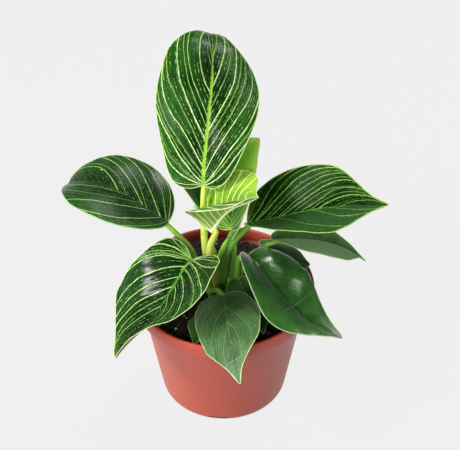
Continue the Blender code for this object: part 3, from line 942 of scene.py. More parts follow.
        # The base and the tip are one vertex each, after all the others.
        every = {key: np.vstack([value[1:-1].reshape(-1, 3), value[:1, middle], value[-1:, middle]])
                 for key, value in net.items()}
        flat, vein, edge = every["flat"], every["vein"], every["stripe"][:, 2]
        centre = every["points"] + every["normal"] * self.relief(flat, vein, edge)[:, None]
        inward = smoothstep(0.0, self.EDGE_TAPER, edge)
        body = self.EDGE_THICKNESS + (self.THICKNESS - self.EDGE_THICKNESS) * inward
        rib = np.exp(-(flat[:, 0] / self.RIB_WIDTH) ** 2) * (1 - self.RIB_FADE * flat[:, 2])
        top = centre + every["normal"] * (body / 2 - self.RIB_GROOVE * rib)[:, None]
        under = centre - every["normal"] * (body / 2 + self.RIB_KEEL * rib)[:, None]

        count = len(top)
        base, tip = count - 2, count - 1
        grid = np.arange(base).reshape(len(net["flat"]) - 2, -1)
        faces = [(base, b, a) for a, b in zip(grid[0], grid[0, 1:])]
        faces += [(tip, a, b) for a, b in zip(grid[-1], grid[-1, 1:])]
        faces += [(a, b, d, c) for low, high in zip(grid, grid[1:])
                  for a, b, c, d in zip(low, low[1:], high, high[1:])]
        shown = len(faces)
        faces += [tuple(i + count for i in reversed(face)) for face in faces]
        ring = [base, *grid[:, -1], tip, *grid[::-1, 0]]
        faces += [(a, a + count, b + count, b) for a, b in zip(ring, ring[1:] + ring[:1])]
        slots = [0] * shown + [1] * shown + [0] * len(ring)
        attributes = {key: np.vstack([every[key]] * 2) for key in ("vein", "flat", "stripe")}
        piece = mesh_object(self.node.replace("leaf_", "blade_"), np.vstack([top, under]), faces,
                            (self.finish.upper(), self.finish.lower()), slots, attributes)
        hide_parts(self.node)
        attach(piece, BODY)
        return piece


CREAM = BladeFinish("cream pinstriped", deep="09210A", fresh="265A1A", core="D6E2AC", halo="6E9C3C",
                    line="A9C46F", rib="7FAC38", margin="B9CF86", stripe=0.88, lines=0.95, flecks=0.4,
                    rib_base=1.7, rib_tip=0.3, gloss=0.17, shine=0.06,
                    marks=(Mark((11.9, 35.8, 201.3), 1.0, "8A5A4A", 0.7),),
                    folds=(Fold((-13.2, 50.3), (-15.0, 52.0), height=0.4, reach=9.0),))
LIME = BladeFinish("lime pinstriped", deep="0D260D", fresh="22481C", core="B0CF74", halo="5F9440",
                   line="7FA85C", rib="1F4A1C", margin="8DB868", stripe=0.66, lines=0.6, flecks=0.25,
                   rib_base=0.5, shine=0.26, marks=(Mark((-80.4, 46.4, 144.2), 0.9, "A9CF62", 0.9),))
BRIGHT = BladeFinish("bright pinstriped", deep="0C220C", fresh="21461A", core="C2DE8C", halo="6A9E40",
                     line="A5C873", rib="4E8C2C", margin="B9D688", stripe=0.82, lines=0.8, flecks=0.3,
                     rib_base=1.6, rib_tip=0.2, rib_fade=0.55, gloss=0.15, shine=0.17,
                     folds=(Fold((21.7, 19.1), (23.0, 21.0), height=0.9, reach=9.0),
                            Fold((32.9, 41.0), (32.0, 44.0), height=0.5, reach=6.0)))
# Its right half carries a painted grey sheen.
RIGHT = BladeFinish("yellow pinstriped", deep="081B08", fresh="193A12", core="A2C752", halo="4E8030",
                    line="7FA84C", rib="4E8A30", margin="96BE5C", stripe=0.68, lines=0.6, flecks=0.25,
                    rib_base=0.8, gloss=0.25, shine=0.03, painted_half_light="2C4E26")
DULL = BladeFinish("dull green", deep="2F4B26", fresh="486C3C", core="A3BF88", halo="5C8743",
                   line="91AE7C", rib="4C753E", margin="A9C488", stripe=0.42, lines=0.7, flecks=0.45,
                   rib_base=0.5, gloss=0.42, shine=0.3,
                   marks=(Mark((-0.4, -39.8, 97.2), 1.1, "6B4A30", 0.7),),
                   folds=(Fold((4.5, 62.4), (-3.0, 60.8), height=0.4, reach=4.0, colour="8FAA78",
                               strength=0.3),))
PLAIN = BladeFinish("plain glossy", deep="1F4517", fresh="386C2C", core="5E9846", halo="43803A",
                    rib="2B5524", margin="A9C890", stripe=0.3, lines=0.1, flecks=0.06, rib_base=0.4,
                    gloss=0.17, ribbing=0.02, shine=0.62,
                    folds=(Fold((15.5, 43.4), (-20.3, 49.9), height=0.4, reach=5.0, colour="7F9C66",
                                strength=0.3),
                           Fold((-9.1, 11.0), (-10.0, 12.0), height=0.7, reach=8.0),
                           Fold((-28.0, 36.0), (-4.0, 46.0), height=1.25, reach=5.0)))
SHADE = BladeFinish("shaded dark green", deep="20431A", fresh="3E7030", core="5F8C48", halo="4A7A3A",
                    rib="4F7C3A", margin="87AD62", stripe=0.3, lines=0.2, flecks=0.12, rib_base=0.4,
                    gloss=0.4, ribbing=0.05, shine=0.15)
# Its right half carries a painted grey sheen, a reflection of the floor.
DRY = BladeFinish("satin green", deep="1C3A14", fresh="3E6C30", painted_half_light="55744A", core="6F9C54",
                  halo="5A8A42", rib="43702E", margin="87AD62", stripe=0.3, lines=0.25, flecks=0.12,
                  rib_base=0.5, gloss=0.58, ribbing=0.05, shine=0.08)
# Its near, right half carries painted shade.
YOUNG = BladeFinish("young lime", deep="6A9A1A", fresh="98C42A", core="F2F6CC", halo="BEDB62",
                    line="CBE67A", rib="D9E89A", margin="DCE8A8", under="7CA046", under_vein="DDE6B0",
                    under_line="426C26", under_lines=0.9, painted_half_light="2F6420", stripe=1.15, lines=0.8,
                    flecks=0.3, line_count=34.0, rib_base=0.9, gloss=0.38, glow=0.3, glow_depth=2.0)
GREEN = BladeFinish("fresh green", deep="98E244", fresh="B4F65E", core="E4F2A0", halo="A6DC58",
                    line="E0F690", foot="2C7016", rib="BCE070", margin="CDEB8E", under="7DB548",
                    under_vein="B5D97A", stripe=0.6, lines=0.6, flecks=0.5, rib_base=0.8, gloss=0.36,
                    glow=0.7, glow_depth=2.5)
TALL_LEFT = stripes(
    (0.03, 0.03, 0.03, 0.03, 0.5), (0.1, 0.1, 0.1, 0.12, 0.6), (0.14, 0.167, 0.178, 0.235, 1.0),
    (0.2, 0.222, 0.225, 0.26, 0.3), (0.272, 0.281, 0.29, 0.302, 1.0), (0.305, 0.31, 0.31, 0.33, 0.3),
    (0.34, 0.35, 0.34, 0.36, 0.3), (0.38, 0.418, 0.391, 0.425, 0.9), (0.45, 0.493, 0.46, 0.45, 0.35),
    (0.53, 0.547, 0.514, 0.505, 1.0), (0.59, 0.607, 0.56, 0.53, 0.3), (0.63, 0.65, 0.59, 0.56, 0.5),
    (0.735, 0.774, 0.86, 0.93, 0.9), (0.85, 0.93, 0.95, 0.97, 0.4))
TALL_RIGHT = stripes(
    (0.04, 0.06, 0.07, 0.08, 0.5), (0.1, 0.145, 0.178, 0.175, 1.0), (0.16, 0.225, 0.225, 0.23, 0.4),
    (0.185, 0.258, 0.2575, 0.285, 1.0), (0.33, 0.402, 0.378, 0.42, 1.0), (0.46, 0.473, 0.45, 0.448, 0.5),
    (0.53, 0.545, 0.5, 0.47, 0.3), (0.57, 0.6, 0.552, 0.505, 1.1), (0.66, 0.73, 0.7, 0.62, 0.3),
    (0.75, 0.822, 0.81, 0.7, 1.0), (0.86, 0.93, 0.95, 0.96, 0.4))
LEFT_LEFT = stripes(
    (0.15, 0.157, 0.183, 0.205, 0.7), (0.335, 0.293, 0.281, 0.35, 1.0), (0.455, 0.475, 0.467, 0.44, 0.9),
    (0.56, 0.6, 0.61, 0.6, 0.35), (0.65, 0.82, 0.85, 0.85, 0.8))
LEFT_RIGHT = stripes(
    (0.14, 0.167, 0.188, 0.245, 1.0), (0.287, 0.278, 0.3, 0.345, 0.75), (0.35, 0.414, 0.405, 0.395, 1.0),
    (0.49, 0.5, 0.47, 0.44, 0.25), (0.525, 0.57, 0.525, 0.48, 0.9), (0.65, 0.66, 0.62, 0.58, 0.25),
    (0.71, 0.725, 0.69, 0.65, 0.8))
FRONT_LEFT_LEFT = stripes(
    (0.03, 0.03, 0.03, 0.03, 0.6), (0.06, 0.06, 0.06, 0.06, 0.8), (0.1, 0.1, 0.1, 0.1, 0.7),
    (0.135, 0.128, 0.13, 0.13, 0.8), (0.23, 0.197, 0.167, 0.155, 0.8), (0.31, 0.273, 0.25, 0.235, 0.8),
    (0.4, 0.33, 0.29, 0.275, 0.5), (0.46, 0.415, 0.38, 0.36, 0.8), (0.55, 0.5, 0.46, 0.44, 0.6),
    (0.64, 0.6, 0.56, 0.53, 0.8), (0.74, 0.72, 0.7, 0.68, 0.5))
FRONT_LEFT_RIGHT = stripes(
    (0.02, 0.02, 0.02, 0.02, 0.6), (0.045, 0.045, 0.045, 0.045, 0.8), (0.07, 0.07, 0.07, 0.07, 0.5),
    (0.1, 0.1, 0.1, 0.105, 0.8), (0.13, 0.13, 0.138, 0.15, 1.1), (0.16, 0.165, 0.17, 0.175, 0.5),
    (0.24, 0.19, 0.19, 0.21, 0.4), (0.3, 0.213, 0.218, 0.25, 1.0), (0.375, 0.36, 0.37, 0.4, 1.0),
    (0.48, 0.47, 0.446, 0.445, 0.8), (0.56, 0.578, 0.534, 0.485, 1.0), (0.62, 0.685, 0.66, 0.6, 0.5),
    (0.7, 0.765, 0.75, 0.7, 0.5))
FRONT_LEFT_HALF = stripes(
    (0.28, 0.236, 0.238, 0.29, 0.8), (0.39, 0.372, 0.362, 0.37, 0.5), (0.545, 0.532, 0.473, 0.47, 0.7),
    (0.7, 0.71, 0.72, 0.72, 0.4))
FRONT_RIGHT_HALF = stripes(
    (0.27, 0.266, 0.268, 0.29, 0.8), (0.4, 0.385, 0.36, 0.36, 0.4), (0.55, 0.538, 0.49, 0.47, 0.5),
    (0.74, 0.755, 0.74, 0.72, 0.5))
RIGHT_LEFT = stripes(
    (0.1, 0.1, 0.105, 0.11, 0.4), (0.14, 0.14, 0.145, 0.15, 0.5), (0.175, 0.175, 0.18, 0.19, 0.5),
    (0.29, 0.277, 0.26, 0.31, 1.0), (0.33, 0.339, 0.323, 0.37, 0.5), (0.345, 0.388, 0.386, 0.44, 1.2),
    (0.425, 0.443, 0.437, 0.45, 0.45), (0.45, 0.483, 0.465, 0.46, 0.65), (0.52, 0.543, 0.498, 0.48, 0.5),
    (0.54, 0.593, 0.525, 0.5, 0.9), (0.6, 0.64, 0.58, 0.54, 0.3), (0.65, 0.69, 0.595, 0.55, 0.6),
    (0.71, 0.735, 0.72, 0.7, 0.25), (0.75, 0.781, 0.786, 0.76, 0.9), (0.84, 0.867, 0.88, 0.88, 0.4))
RIGHT_RIGHT = stripes(
    (0.25, 0.203, 0.18, 0.17, 0.6), (0.52, 0.452, 0.427, 0.45, 0.8), (0.72, 0.712, 0.66, 0.6, 0.8),
    (0.79, 0.848, 0.86, 0.86, 0.6))
UNFOLDING_LEFT = stripes(
    (0.36, 0.25, 0.16, 0.08, 0.6), (0.46, 0.35, 0.25, 0.15, 0.9), (0.58, 0.46, 0.34, 0.23, 0.7),
    (0.68, 0.56, 0.43, 0.31, 1.0), (0.76, 0.64, 0.5, 0.38, 0.7), (0.84, 0.72, 0.58, 0.45, 0.9),
    (0.92, 0.82, 0.68, 0.55, 0.6))
UNFOLDING_RIGHT = stripes(
    (0.06, 0.07, 0.08, 0.09, 0.6), (0.13, 0.14, 0.15, 0.17, 0.9), (0.21, 0.22, 0.24, 0.26, 0.6),
    (0.3, 0.31, 0.33, 0.35, 0.9), (0.4, 0.41, 0.43, 0.45, 0.7), (0.5, 0.51, 0.53, 0.55, 0.9),
    (0.6, 0.61, 0.63, 0.65, 0.7), (0.7, 0.71, 0.73, 0.75, 0.9), (0.8, 0.81, 0.83, 0.85, 0.6),
    (0.89, 0.9, 0.92, 0.94, 0.7))
UPRIGHT = stripes(*((place, place, place, place, 0.8)
                    for place in (0.05, 0.11, 0.17, 0.24, 0.31, 0.39, 0.5, 0.62)))

BLADES = (
    Blade("leaf_tall", (-12.5, 8.0, 159.5), 117, 68, (77, 49, 28, -40), (83, 81, 89, 94), (-9, -6, 21, 8),
          (6, 8), (28, 36), CREAM, widest=0.46, lobe=0.04, taper=0.55, point=0.10, share=(1.04, 0.93),
          skew=-0.08, stripes=(TALL_LEFT, TALL_RIGHT), rows=120, columns=30, ripple=0.07),
    Blade("leaf_left", (-35.0, 10.0, 129.0), 86, 60, (23, 14, -9, -42), (164, 148, 148, 139),
          (6, -5, -8, -17), (18, 17), (24, 29), LIME, widest=0.45, lobe=0.01, taper=0.26,
          skew=0.02, stripes=(LEFT_LEFT, LEFT_RIGHT), ripple=0.15),
    Blade("leaf_front_left", (-20.0, -10.0, 114.5), 80, 72, (-3, -33, -19, -31), (235, 233, 225, 236),
          (-2, 11, 22, 45), (30, 28), (13, 30), BRIGHT, widest=0.43, lobe=0.09, taper=0.66, point=0.15,
          share=(1.02, 1.0), skew=-0.02, stripes=(FRONT_LEFT_LEFT, FRONT_LEFT_RIGHT)),
    Blade("leaf_front", (0.0, -18.0, 91.5), 76, 43, (18, 7, -17, -30), (269, 276, 279, 293),
          (10, 11, 27, 28), (8, 1), (30, 35), DULL, widest=0.35, taper=0.78, point=0.13,
          stripes=(FRONT_LEFT_HALF, FRONT_RIGHT_HALF)),
    Blade("leaf_front_right", (16.0, 0.0, 110.0), 83, 64, (8, -31, -27, -13), (302, 317, 331, 336),
          (-20, -12, -3, -16), (18, 29), (35, 49), PLAIN, widest=0.47, lobe=0.06, point=0.20,
          share=(0.95, 0.99), skew=-0.15, quilt=0.02, ripple=0.12),
    Blade("leaf_right", (15.0, 10.0, 128.5), 92, 59, (12, 21, 15, 9), (-12, -6, -12, -6), (-6, 6, 23, 29),
          (32, 27), (3, 5), RIGHT, widest=0.42, lobe=0.01, taper=0.78, skew=-0.03,
          stripes=(RIGHT_LEFT, RIGHT_RIGHT)),
    Blade("leaf_right_low", (31.0, 16.0, 109.0), 72, 45, (-1, -9, -30, -46), (7, 4, 7, 10),
          (-23, -10, -7, -10), (12, 19), (26, 25), DRY, widest=0.46, lobe=0.0, taper=0.76, point=0.13),
    Blade("leaf_right_under", (26.5, 16.0, 100.5), 34, 33, (-13, -26, -24, -16), (14, -3, -4, 5),
          (0, -4, -2, 0), (5, 8), (20, 19), SHADE, widest=0.41, lobe=0.07, point=0.07, rows=60, columns=16),
    Blade("leaf_unfolding", (-7.5, -4.0, 132.5), 50, 56, (59, 59, 41, 36), (-23, -30, -30, 6),
          (-9, 10, 2, -13), (47, 80), (0, -17), YOUNG, fold_tip=(-1, 47), curl_tip=(0, 106),
          widest=0.51, lobe=0.07, taper=0.68, point=0.05, share=(1.07, 0.96), skew=0.02,
          stripes=(UNFOLDING_LEFT, UNFOLDING_RIGHT)),
    Blade("leaf_upright", (5.0, 15.0, 118.5), 66, 40, (87, 70, 55, 7), (55, 59, 57, 62), (-13, -2, 2, 3),
          (17, 38), (6, -1), GREEN, widest=0.43, lobe=0.06, taper=0.43, skew=-0.03,
          stripes=(UPRIGHT, UPRIGHT)),
    Blade("leaf_behind", (-15.0, 22.0, 130.0), 61, 33, (67, 52, 43, 30), (127, 121, 129, 130),
          (34, 6, -4, -1), (36, 15), (5, 9), SHADE, lobe=0.04, skew=0.02),
    Blade("leaf_small_left", (-9.5, -14.0, 83.0), 40, 22, (13, 5, -11, -19), (267, 261, 251, 254),
          (13, 18, 2, 11), (5, 1), (24, 30), SHADE, widest=0.43, taper=0.5, rows=60, columns=16),
    Blade("leaf_small_right", (9.5, 2.5, 87.5), 50, 28, (0, -2, -8, -17), (293, 288, 290, 284),
          (1, 0, -1, -1), (4, 5), (25, 26), SHADE, widest=0.43, lobe=0.02, taper=0.7, rows=60, columns=16),
)
BLADE_BY_NODE = {blade.node: blade for blade in BLADES}


@dataclass(frozen=True)
class StalkFinish:
    """Skin of a leaf stalk: smooth and waxy, with fine lengthwise fibres."""

    name: str
    foot: str
    top: str
    streak: str
    marks: tuple[Mark, ...] = ()

    SPOT_CORE = 0.4

    def material(self) -> bpy.types.Material:
        """Make the stalk's material.

        Returns:
            The finished material.
        """
        paint = Paint(f"{self.name} stalk skin", self.foot)
        tree = paint.tree
        tube = add(tree, "Attribute", attribute_name="tube").outputs["Vector"]
        paint.lay(self.top, add(tree, "SeparateXYZ", (tube,)))
        # Fibres about 0.5 mm wide and several millimetres long.
        cells = add(tree, "VectorMath", (tube, (6.0, 9.0, 9.0)), operation="MULTIPLY")
        fibres = add(tree, "TexNoise", {"Vector": cells, "Scale": 1.0, "Detail": 3.0})
        paint.lay(self.streak, fibres, (0.45, 0.75), (0.0, 0.6))
        for mark in self.marks:
            paint.spot(mark, self.SPOT_CORE)
        bump = add(tree, "Bump", {"Height": fibres, "Strength": 0.3, "Distance": 0.2 * MM})
        return paint.finish({"Roughness": 0.4, "IOR": 1.45, "Normal": bump})


@dataclass(frozen=True)
class Tube:
    """A leaf stalk or sheath, as points from the crown up with its half widths."""

    name: str
    path: tuple[Point, ...]
    thick: tuple[float, ...]
    finish: StalkFinish
    leaf: str = ""
    flat: float = 1.0
    drop: float = 0.0
    tongue: float = 11.0

    SIDES = 22
    STEPS = 9
    SEAT = 0.3
    BLADE = 0.8
    # How far the stalk lands inside the blade, and how its tongue thins out under the midrib.
    LANDING = 1.5
    TONGUE_MIDDLE = 0.55
    TONGUE_DEPTH = 0.9
    TONGUE_THICK = 0.7
    TIP_DEPTH = 0.6
    TIP_THICK = 0.25

    def ends(self) -> tuple[list[Point], list[float]]:
        """Carry the stalk on into the tongue that runs under its leaf.

        Returns:
            The whole path and its half widths.
        """
        path, thick = list(self.path), list(self.thick)
        if self.leaf:
            blade = BLADE_BY_NODE[self.leaf]
            along, out, _ = (axes[0] for axes in blade.directions(np.array([0.0])))
            depth = self.BLADE / 2 + self.SEAT + thick[-1] + self.drop
            for down, on in ((depth, self.LANDING),
                             (thick[-1] * self.TONGUE_DEPTH, self.tongue * self.TONGUE_MIDDLE),
                             (self.TIP_DEPTH, self.tongue)):
                path.append(tuple(np.array(blade.base) - out * down + along * on))
            thick += [thick[-1] * self.TONGUE_THICK, self.TIP_THICK]
        return path, thick

    def build(self) -> bpy.types.Object:
        """Build the closed tube.

        Returns:
            The tube's piece.
        """
        centres, radii = smooth_path(*self.ends(), self.STEPS)
        along = unit(np.gradient(centres, axis=0))
        lengths = np.concatenate([[0], np.cumsum(np.linalg.norm(np.diff(centres, axis=0), axis=1))])
        side = unit(np.cross(along, (0.0, 1.0, 0.0)))
        deep = self.flat * np.cross(side, along)
        turn = 2 * math.pi * np.arange(self.SIDES) / self.SIDES
        cos, sin = np.cos(turn)[:, None], np.sin(turn)[:, None]
        points = centres[:, None] + radii[:, None, None] * (cos * side[:, None] + sin * deep[:, None])
        share = (lengths / lengths[-1])[:, None, None]
        numbers = np.concatenate(np.broadcast_arrays(share, cos, sin), axis=-1)
        rows = np.arange(len(centres) * self.SIDES).reshape(-1, self.SIDES)
        piece = mesh_object(self.name, points.reshape(-1, 3), loft(rows.tolist()),
                            (self.finish.material(),), attributes={"tube": numbers})
        turn_outward(piece)
        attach(piece, BODY)
        return piece


CREAM_STALK = StalkFinish("cream yellow", foot="BFCB70", top="C4DE40", streak="A0C43E",
                          marks=(Mark((-13.6, 2.2, 127.0), 1.2, "9A5A2E", 0.45),
                                 Mark((-13.6, 2.2, 124.8), 1.4, "9A5A2E", 0.45)))
PALE_STALK = StalkFinish("pale lime", foot="B2BE62", top="BAC652", streak="93AD3E",
                         marks=(Mark((-9.5, -4.0, 117.3), 0.7, "7A4A2A", 0.8),))
GREEN_STALK = StalkFinish("fresh green", foot="6A9A38", top="8CC442", streak="568E2B",
                          marks=(Mark((1.6, 1.5, 121.8), 1.0, "7A3A22", 0.7),
                                 Mark((0.6, 1.5, 120.5), 1.0, "7A3A22", 0.7),
                                 Mark((-0.3, 1.5, 119.3), 1.0, "7A3A22", 0.7),
                                 Mark((9.7, 5.0, 107.9), 0.9, "9A3A28", 0.8)))
DEEP_STALK = StalkFinish("mid green", foot="64943A", top="74A836", streak="447A26")
BRIGHT_STALK = StalkFinish("bright green", foot="8FC048", top="A6E04E", streak="6FAE36",
                           marks=(Mark((-23.9, 4.0, 116.2), 1.6, "8A4A30", 0.6),))
SHEATH = StalkFinish("pale sheath", foot="8FB548", top="B3CC62", streak="7FA83C",
                     marks=(Mark((-4.5, 1.5, 112.6), 1.2, "7A4A2A", 0.7),))

TUBES = (
    Tube("stalk_tall", ((-6.5, 4.5, 68), (-8.2, 4.8, 80), (-10.9, 4.6, 100), (-12.2, 4, 121),
                        (-12.3, 4.2, 137), (-12.4, 7.2, 150)),
         (3.2, 2.6, 2.4, 2.3, 2.2, 2.0, 1.7), CREAM_STALK, "leaf_tall", drop=0.3),
    Tube("stalk_unfolding", ((-5, 2.5, 68), (-6.3, 1.5, 82), (-7.8, -1, 104), (-8.4, -3, 119)),
         (3.0, 3.2, 3.0, 2.4, 1.9), PALE_STALK, "leaf_unfolding", drop=0.2, tongue=6.0),
    Tube("stalk_right", ((-1, 5, 68), (-1, 5.5, 80), (0, 6, 91.5), (2.2, 7, 103), (6.5, 8, 114)),
         (3.8, 3.6, 3.3, 2.8, 2.3, 1.7), DEEP_STALK, "leaf_right"),
    Tube("stalk_upright", ((0, 7, 72), (0.8, 9, 94), (2.2, 12, 106), (4, 14.8, 112)),
         (2.6, 2.4, 2.0, 1.7, 1.4), GREEN_STALK, "leaf_upright", drop=0.5),
    Tube("stalk_front_right", ((5.5, 6, 68), (7.8, 6.5, 82), (9.1, 6, 94), (10.6, 3.8, 104)),
         (3.0, 2.7, 2.5, 2.1, 1.6), GREEN_STALK, "leaf_front_right"),
    Tube("stalk_right_low", ((5, 6.5, 68), (9.8, 8.8, 83), (17.5, 12.5, 95), (25, 15, 102.5)),
         (2.4, 2.2, 1.9, 1.6, 1.4), GREEN_STALK, "leaf_right_low"),
    Tube("stalk_right_under", ((3.5, 7, 68), (8.5, 9.5, 82), (17, 13, 93)),
         (2.2, 1.9, 1.6, 1.3), GREEN_STALK, "leaf_right_under"),
    Tube("stalk_left", ((-6, 3.5, 68), (-9.5, 4, 80), (-14, 5, 90), (-18.9, 6, 102), (-24, 8, 112)),
         (3.0, 2.8, 2.6, 2.2, 1.9, 1.6), BRIGHT_STALK, "leaf_left"),
    Tube("stalk_front_left", ((-5.5, 1, 68), (-8, 0, 80), (-11, -2.5, 94), (-14, -5.5, 106)),
         (2.4, 2.2, 2.0, 1.8, 1.5), GREEN_STALK, "leaf_front_left"),
    Tube("stalk_front", ((-4, 0, 70), (-6.5, -2.5, 80), (-5, -8, 86.5), (-2, -13, 88.5)),
         (2.4, 2.2, 1.9, 1.7, 1.4), GREEN_STALK, "leaf_front", drop=0.6),
    Tube("stalk_behind", ((-5, 7.5, 68), (-7, 9.5, 82), (-11.5, 14, 104), (-14, 19.5, 120)),
         (2.4, 2.1, 1.9, 1.7, 1.4), GREEN_STALK, "leaf_behind", drop=0.2),
    Tube("stalk_small_left", ((-5, -1, 70), (-8, -5, 79.5)), (2.0, 1.7, 1.3), GREEN_STALK,
         "leaf_small_left", drop=0.3),
    Tube("stalk_small_right", ((4, 3, 70), (6, 3.2, 83)), (2.2, 1.9, 1.3), GREEN_STALK,
         "leaf_small_right", drop=0.3),
    Tube("sheath_right", ((-2, 4, 70), (-2.3, 4.2, 91), (-1.6, 4.8, 103), (0.2, 5.4, 112),
                          (2.6, 6.2, 118)), (3.0, 3.0, 2.6, 1.8, 0.7), GREEN_STALK, flat=0.55),
    Tube("sheath_unfolding", ((-4, 3, 70), (-4.8, 1.2, 92), (-5.6, -0.6, 108), (-6.6, -2.2, 119)),
         (2.6, 2.6, 2.0, 0.8), SHEATH, flat=0.6),
    Tube("sheath_spent", ((-6.5, -0.5, 72), (-9.5, -2.2, 80), (-11.5, -2.6, 85)), (1.8, 1.7, 1.0),
         PALE_STALK, flat=0.6),
    Tube("sheath_pointed", ((5, 7, 72), (6.6, 7.6, 94), (7.4, 8, 108), (8.2, 8.4, 116)),
         (2.4, 2.0, 1.3, 0.6), GREEN_STALK, flat=0.55),
)



@dataclass(frozen=True)
class Crown:
    """The short thick stem that the stalks stand on, down in the soil."""

    x: float = -0.5
    y: float = 4.0
    radius: float = 12.0
    top: float = 77.5
    depth: float = 22.0
    sides: int = 48

    def build(self, paint: bpy.types.Material) -> bpy.types.Object:
        """Build the crown with a domed top.

        Args:
            paint: The crown's material.

        Returns:
            The crown's piece.
        """
        # Each ring: how far inside the crown's radius and below its top.
        rings = ((0.0, self.depth), (0.0, 1.5), (0.5, 0.4), (1.6, 0.0), (self.radius / 2, -0.4))
        profile = [(self.radius - inside, self.top - below) for inside, below in rings]
        points, rows = turned(profile, self.sides, self.x, self.y)
        numbers = np.tile((0.0, 1.0, 0.0), (len(points), 1))
        piece = mesh_object("crown", np.array(points), loft(rows), (paint,), attributes={"tube": numbers})
        turn_outward(piece)
        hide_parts("stalks")
        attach(piece, BODY)
        return piece


@dataclass(frozen=True)
class MouldedTerracotta:
    """Injection-moulded polypropylene in terracotta red.

    A smooth, slightly waxy plastic: a broad soft highlight, a painted redder
    tint of light through the thin lip and rim band, with dust and small dark specks.
    """

    body: str = "A8422E"
    pale: str = "B04D39"
    lip: str = "C8401F"
    inner: str = "A02812"
    speck: str = "4A2A22"
    roughness: float = 0.42

    # In metres: where the painted light of the lip and of the inner wall starts and where it is full.
    PAINTED_LIP_LIGHT_HEIGHT = (0.0846, 0.0849)
    PAINTED_INNER_LIGHT_HEIGHT = (0.074, 0.076)
    PAINTED_INNER_LIGHT_RADIUS = (0.0574, 0.0570)
    # Share of the cells that hold no speck, and a speck's soft edge in cells.
    EMPTY = 0.86
    SPECK_EDGE = (0.02, 0.035)

    def material(self) -> bpy.types.Material:
        """Make the pot's material.

        Returns:
            The finished material.
        """
        paint = Paint("moulded terracotta polypropylene", self.body)
        tree, place = paint.tree, paint.place
        clouds = add(tree, "TexNoise", {"Vector": place, "Scale": 22.0, "Detail": 3.0})
        paint.lay(self.pale, clouds, (0.35, 0.7), (0.0, 0.5))
        # Painted light: the lip's top edge and the wall inside the rim band get a redder colour for the
        # light through the thin plastic.
        height = add(tree, "SeparateXYZ", (place,)).outputs["Z"]
        paint.lay(self.lip, height, self.PAINTED_LIP_LIGHT_HEIGHT)
        level = add(tree, "VectorMath", (place, (1.0, 1.0, 0.0)), operation="MULTIPLY")
        radius = add(tree, "VectorMath", (level,), operation="LENGTH")
        high = add(tree, "MapRange", (height, *self.PAINTED_INNER_LIGHT_HEIGHT))
        paint.lay(self.inner, radius, self.PAINTED_INNER_LIGHT_RADIUS, (0.0, high))
        # Dark specks of soil, under a millimetre across and centimetres apart.
        cells = add(tree, "TexVoronoi", {"Vector": place, "Scale": 55.0})
        kind = add(tree, "SeparateColor", (cells.outputs["Color"],))
        rare = add(tree, "Math", (kind, self.EMPTY), operation="GREATER_THAN")
        paint.lay(self.speck, cells, self.SPECK_EDGE, (rare, 0.0))
        # Spark-eroded mould grain of about 0.3 mm.
        grain = add(tree, "TexNoise", {"Vector": place, "Scale": 3200.0, "Detail": 2.0})
        bump = add(tree, "Bump", {"Height": grain, "Strength": 0.12, "Distance": 0.1 * MM})
        rough = add(tree, "MapRange", (clouds, *NOISE, self.roughness - 0.04, self.roughness + 0.06))
        return paint.finish({"Roughness": rough, "IOR": 1.49, "Normal": bump})


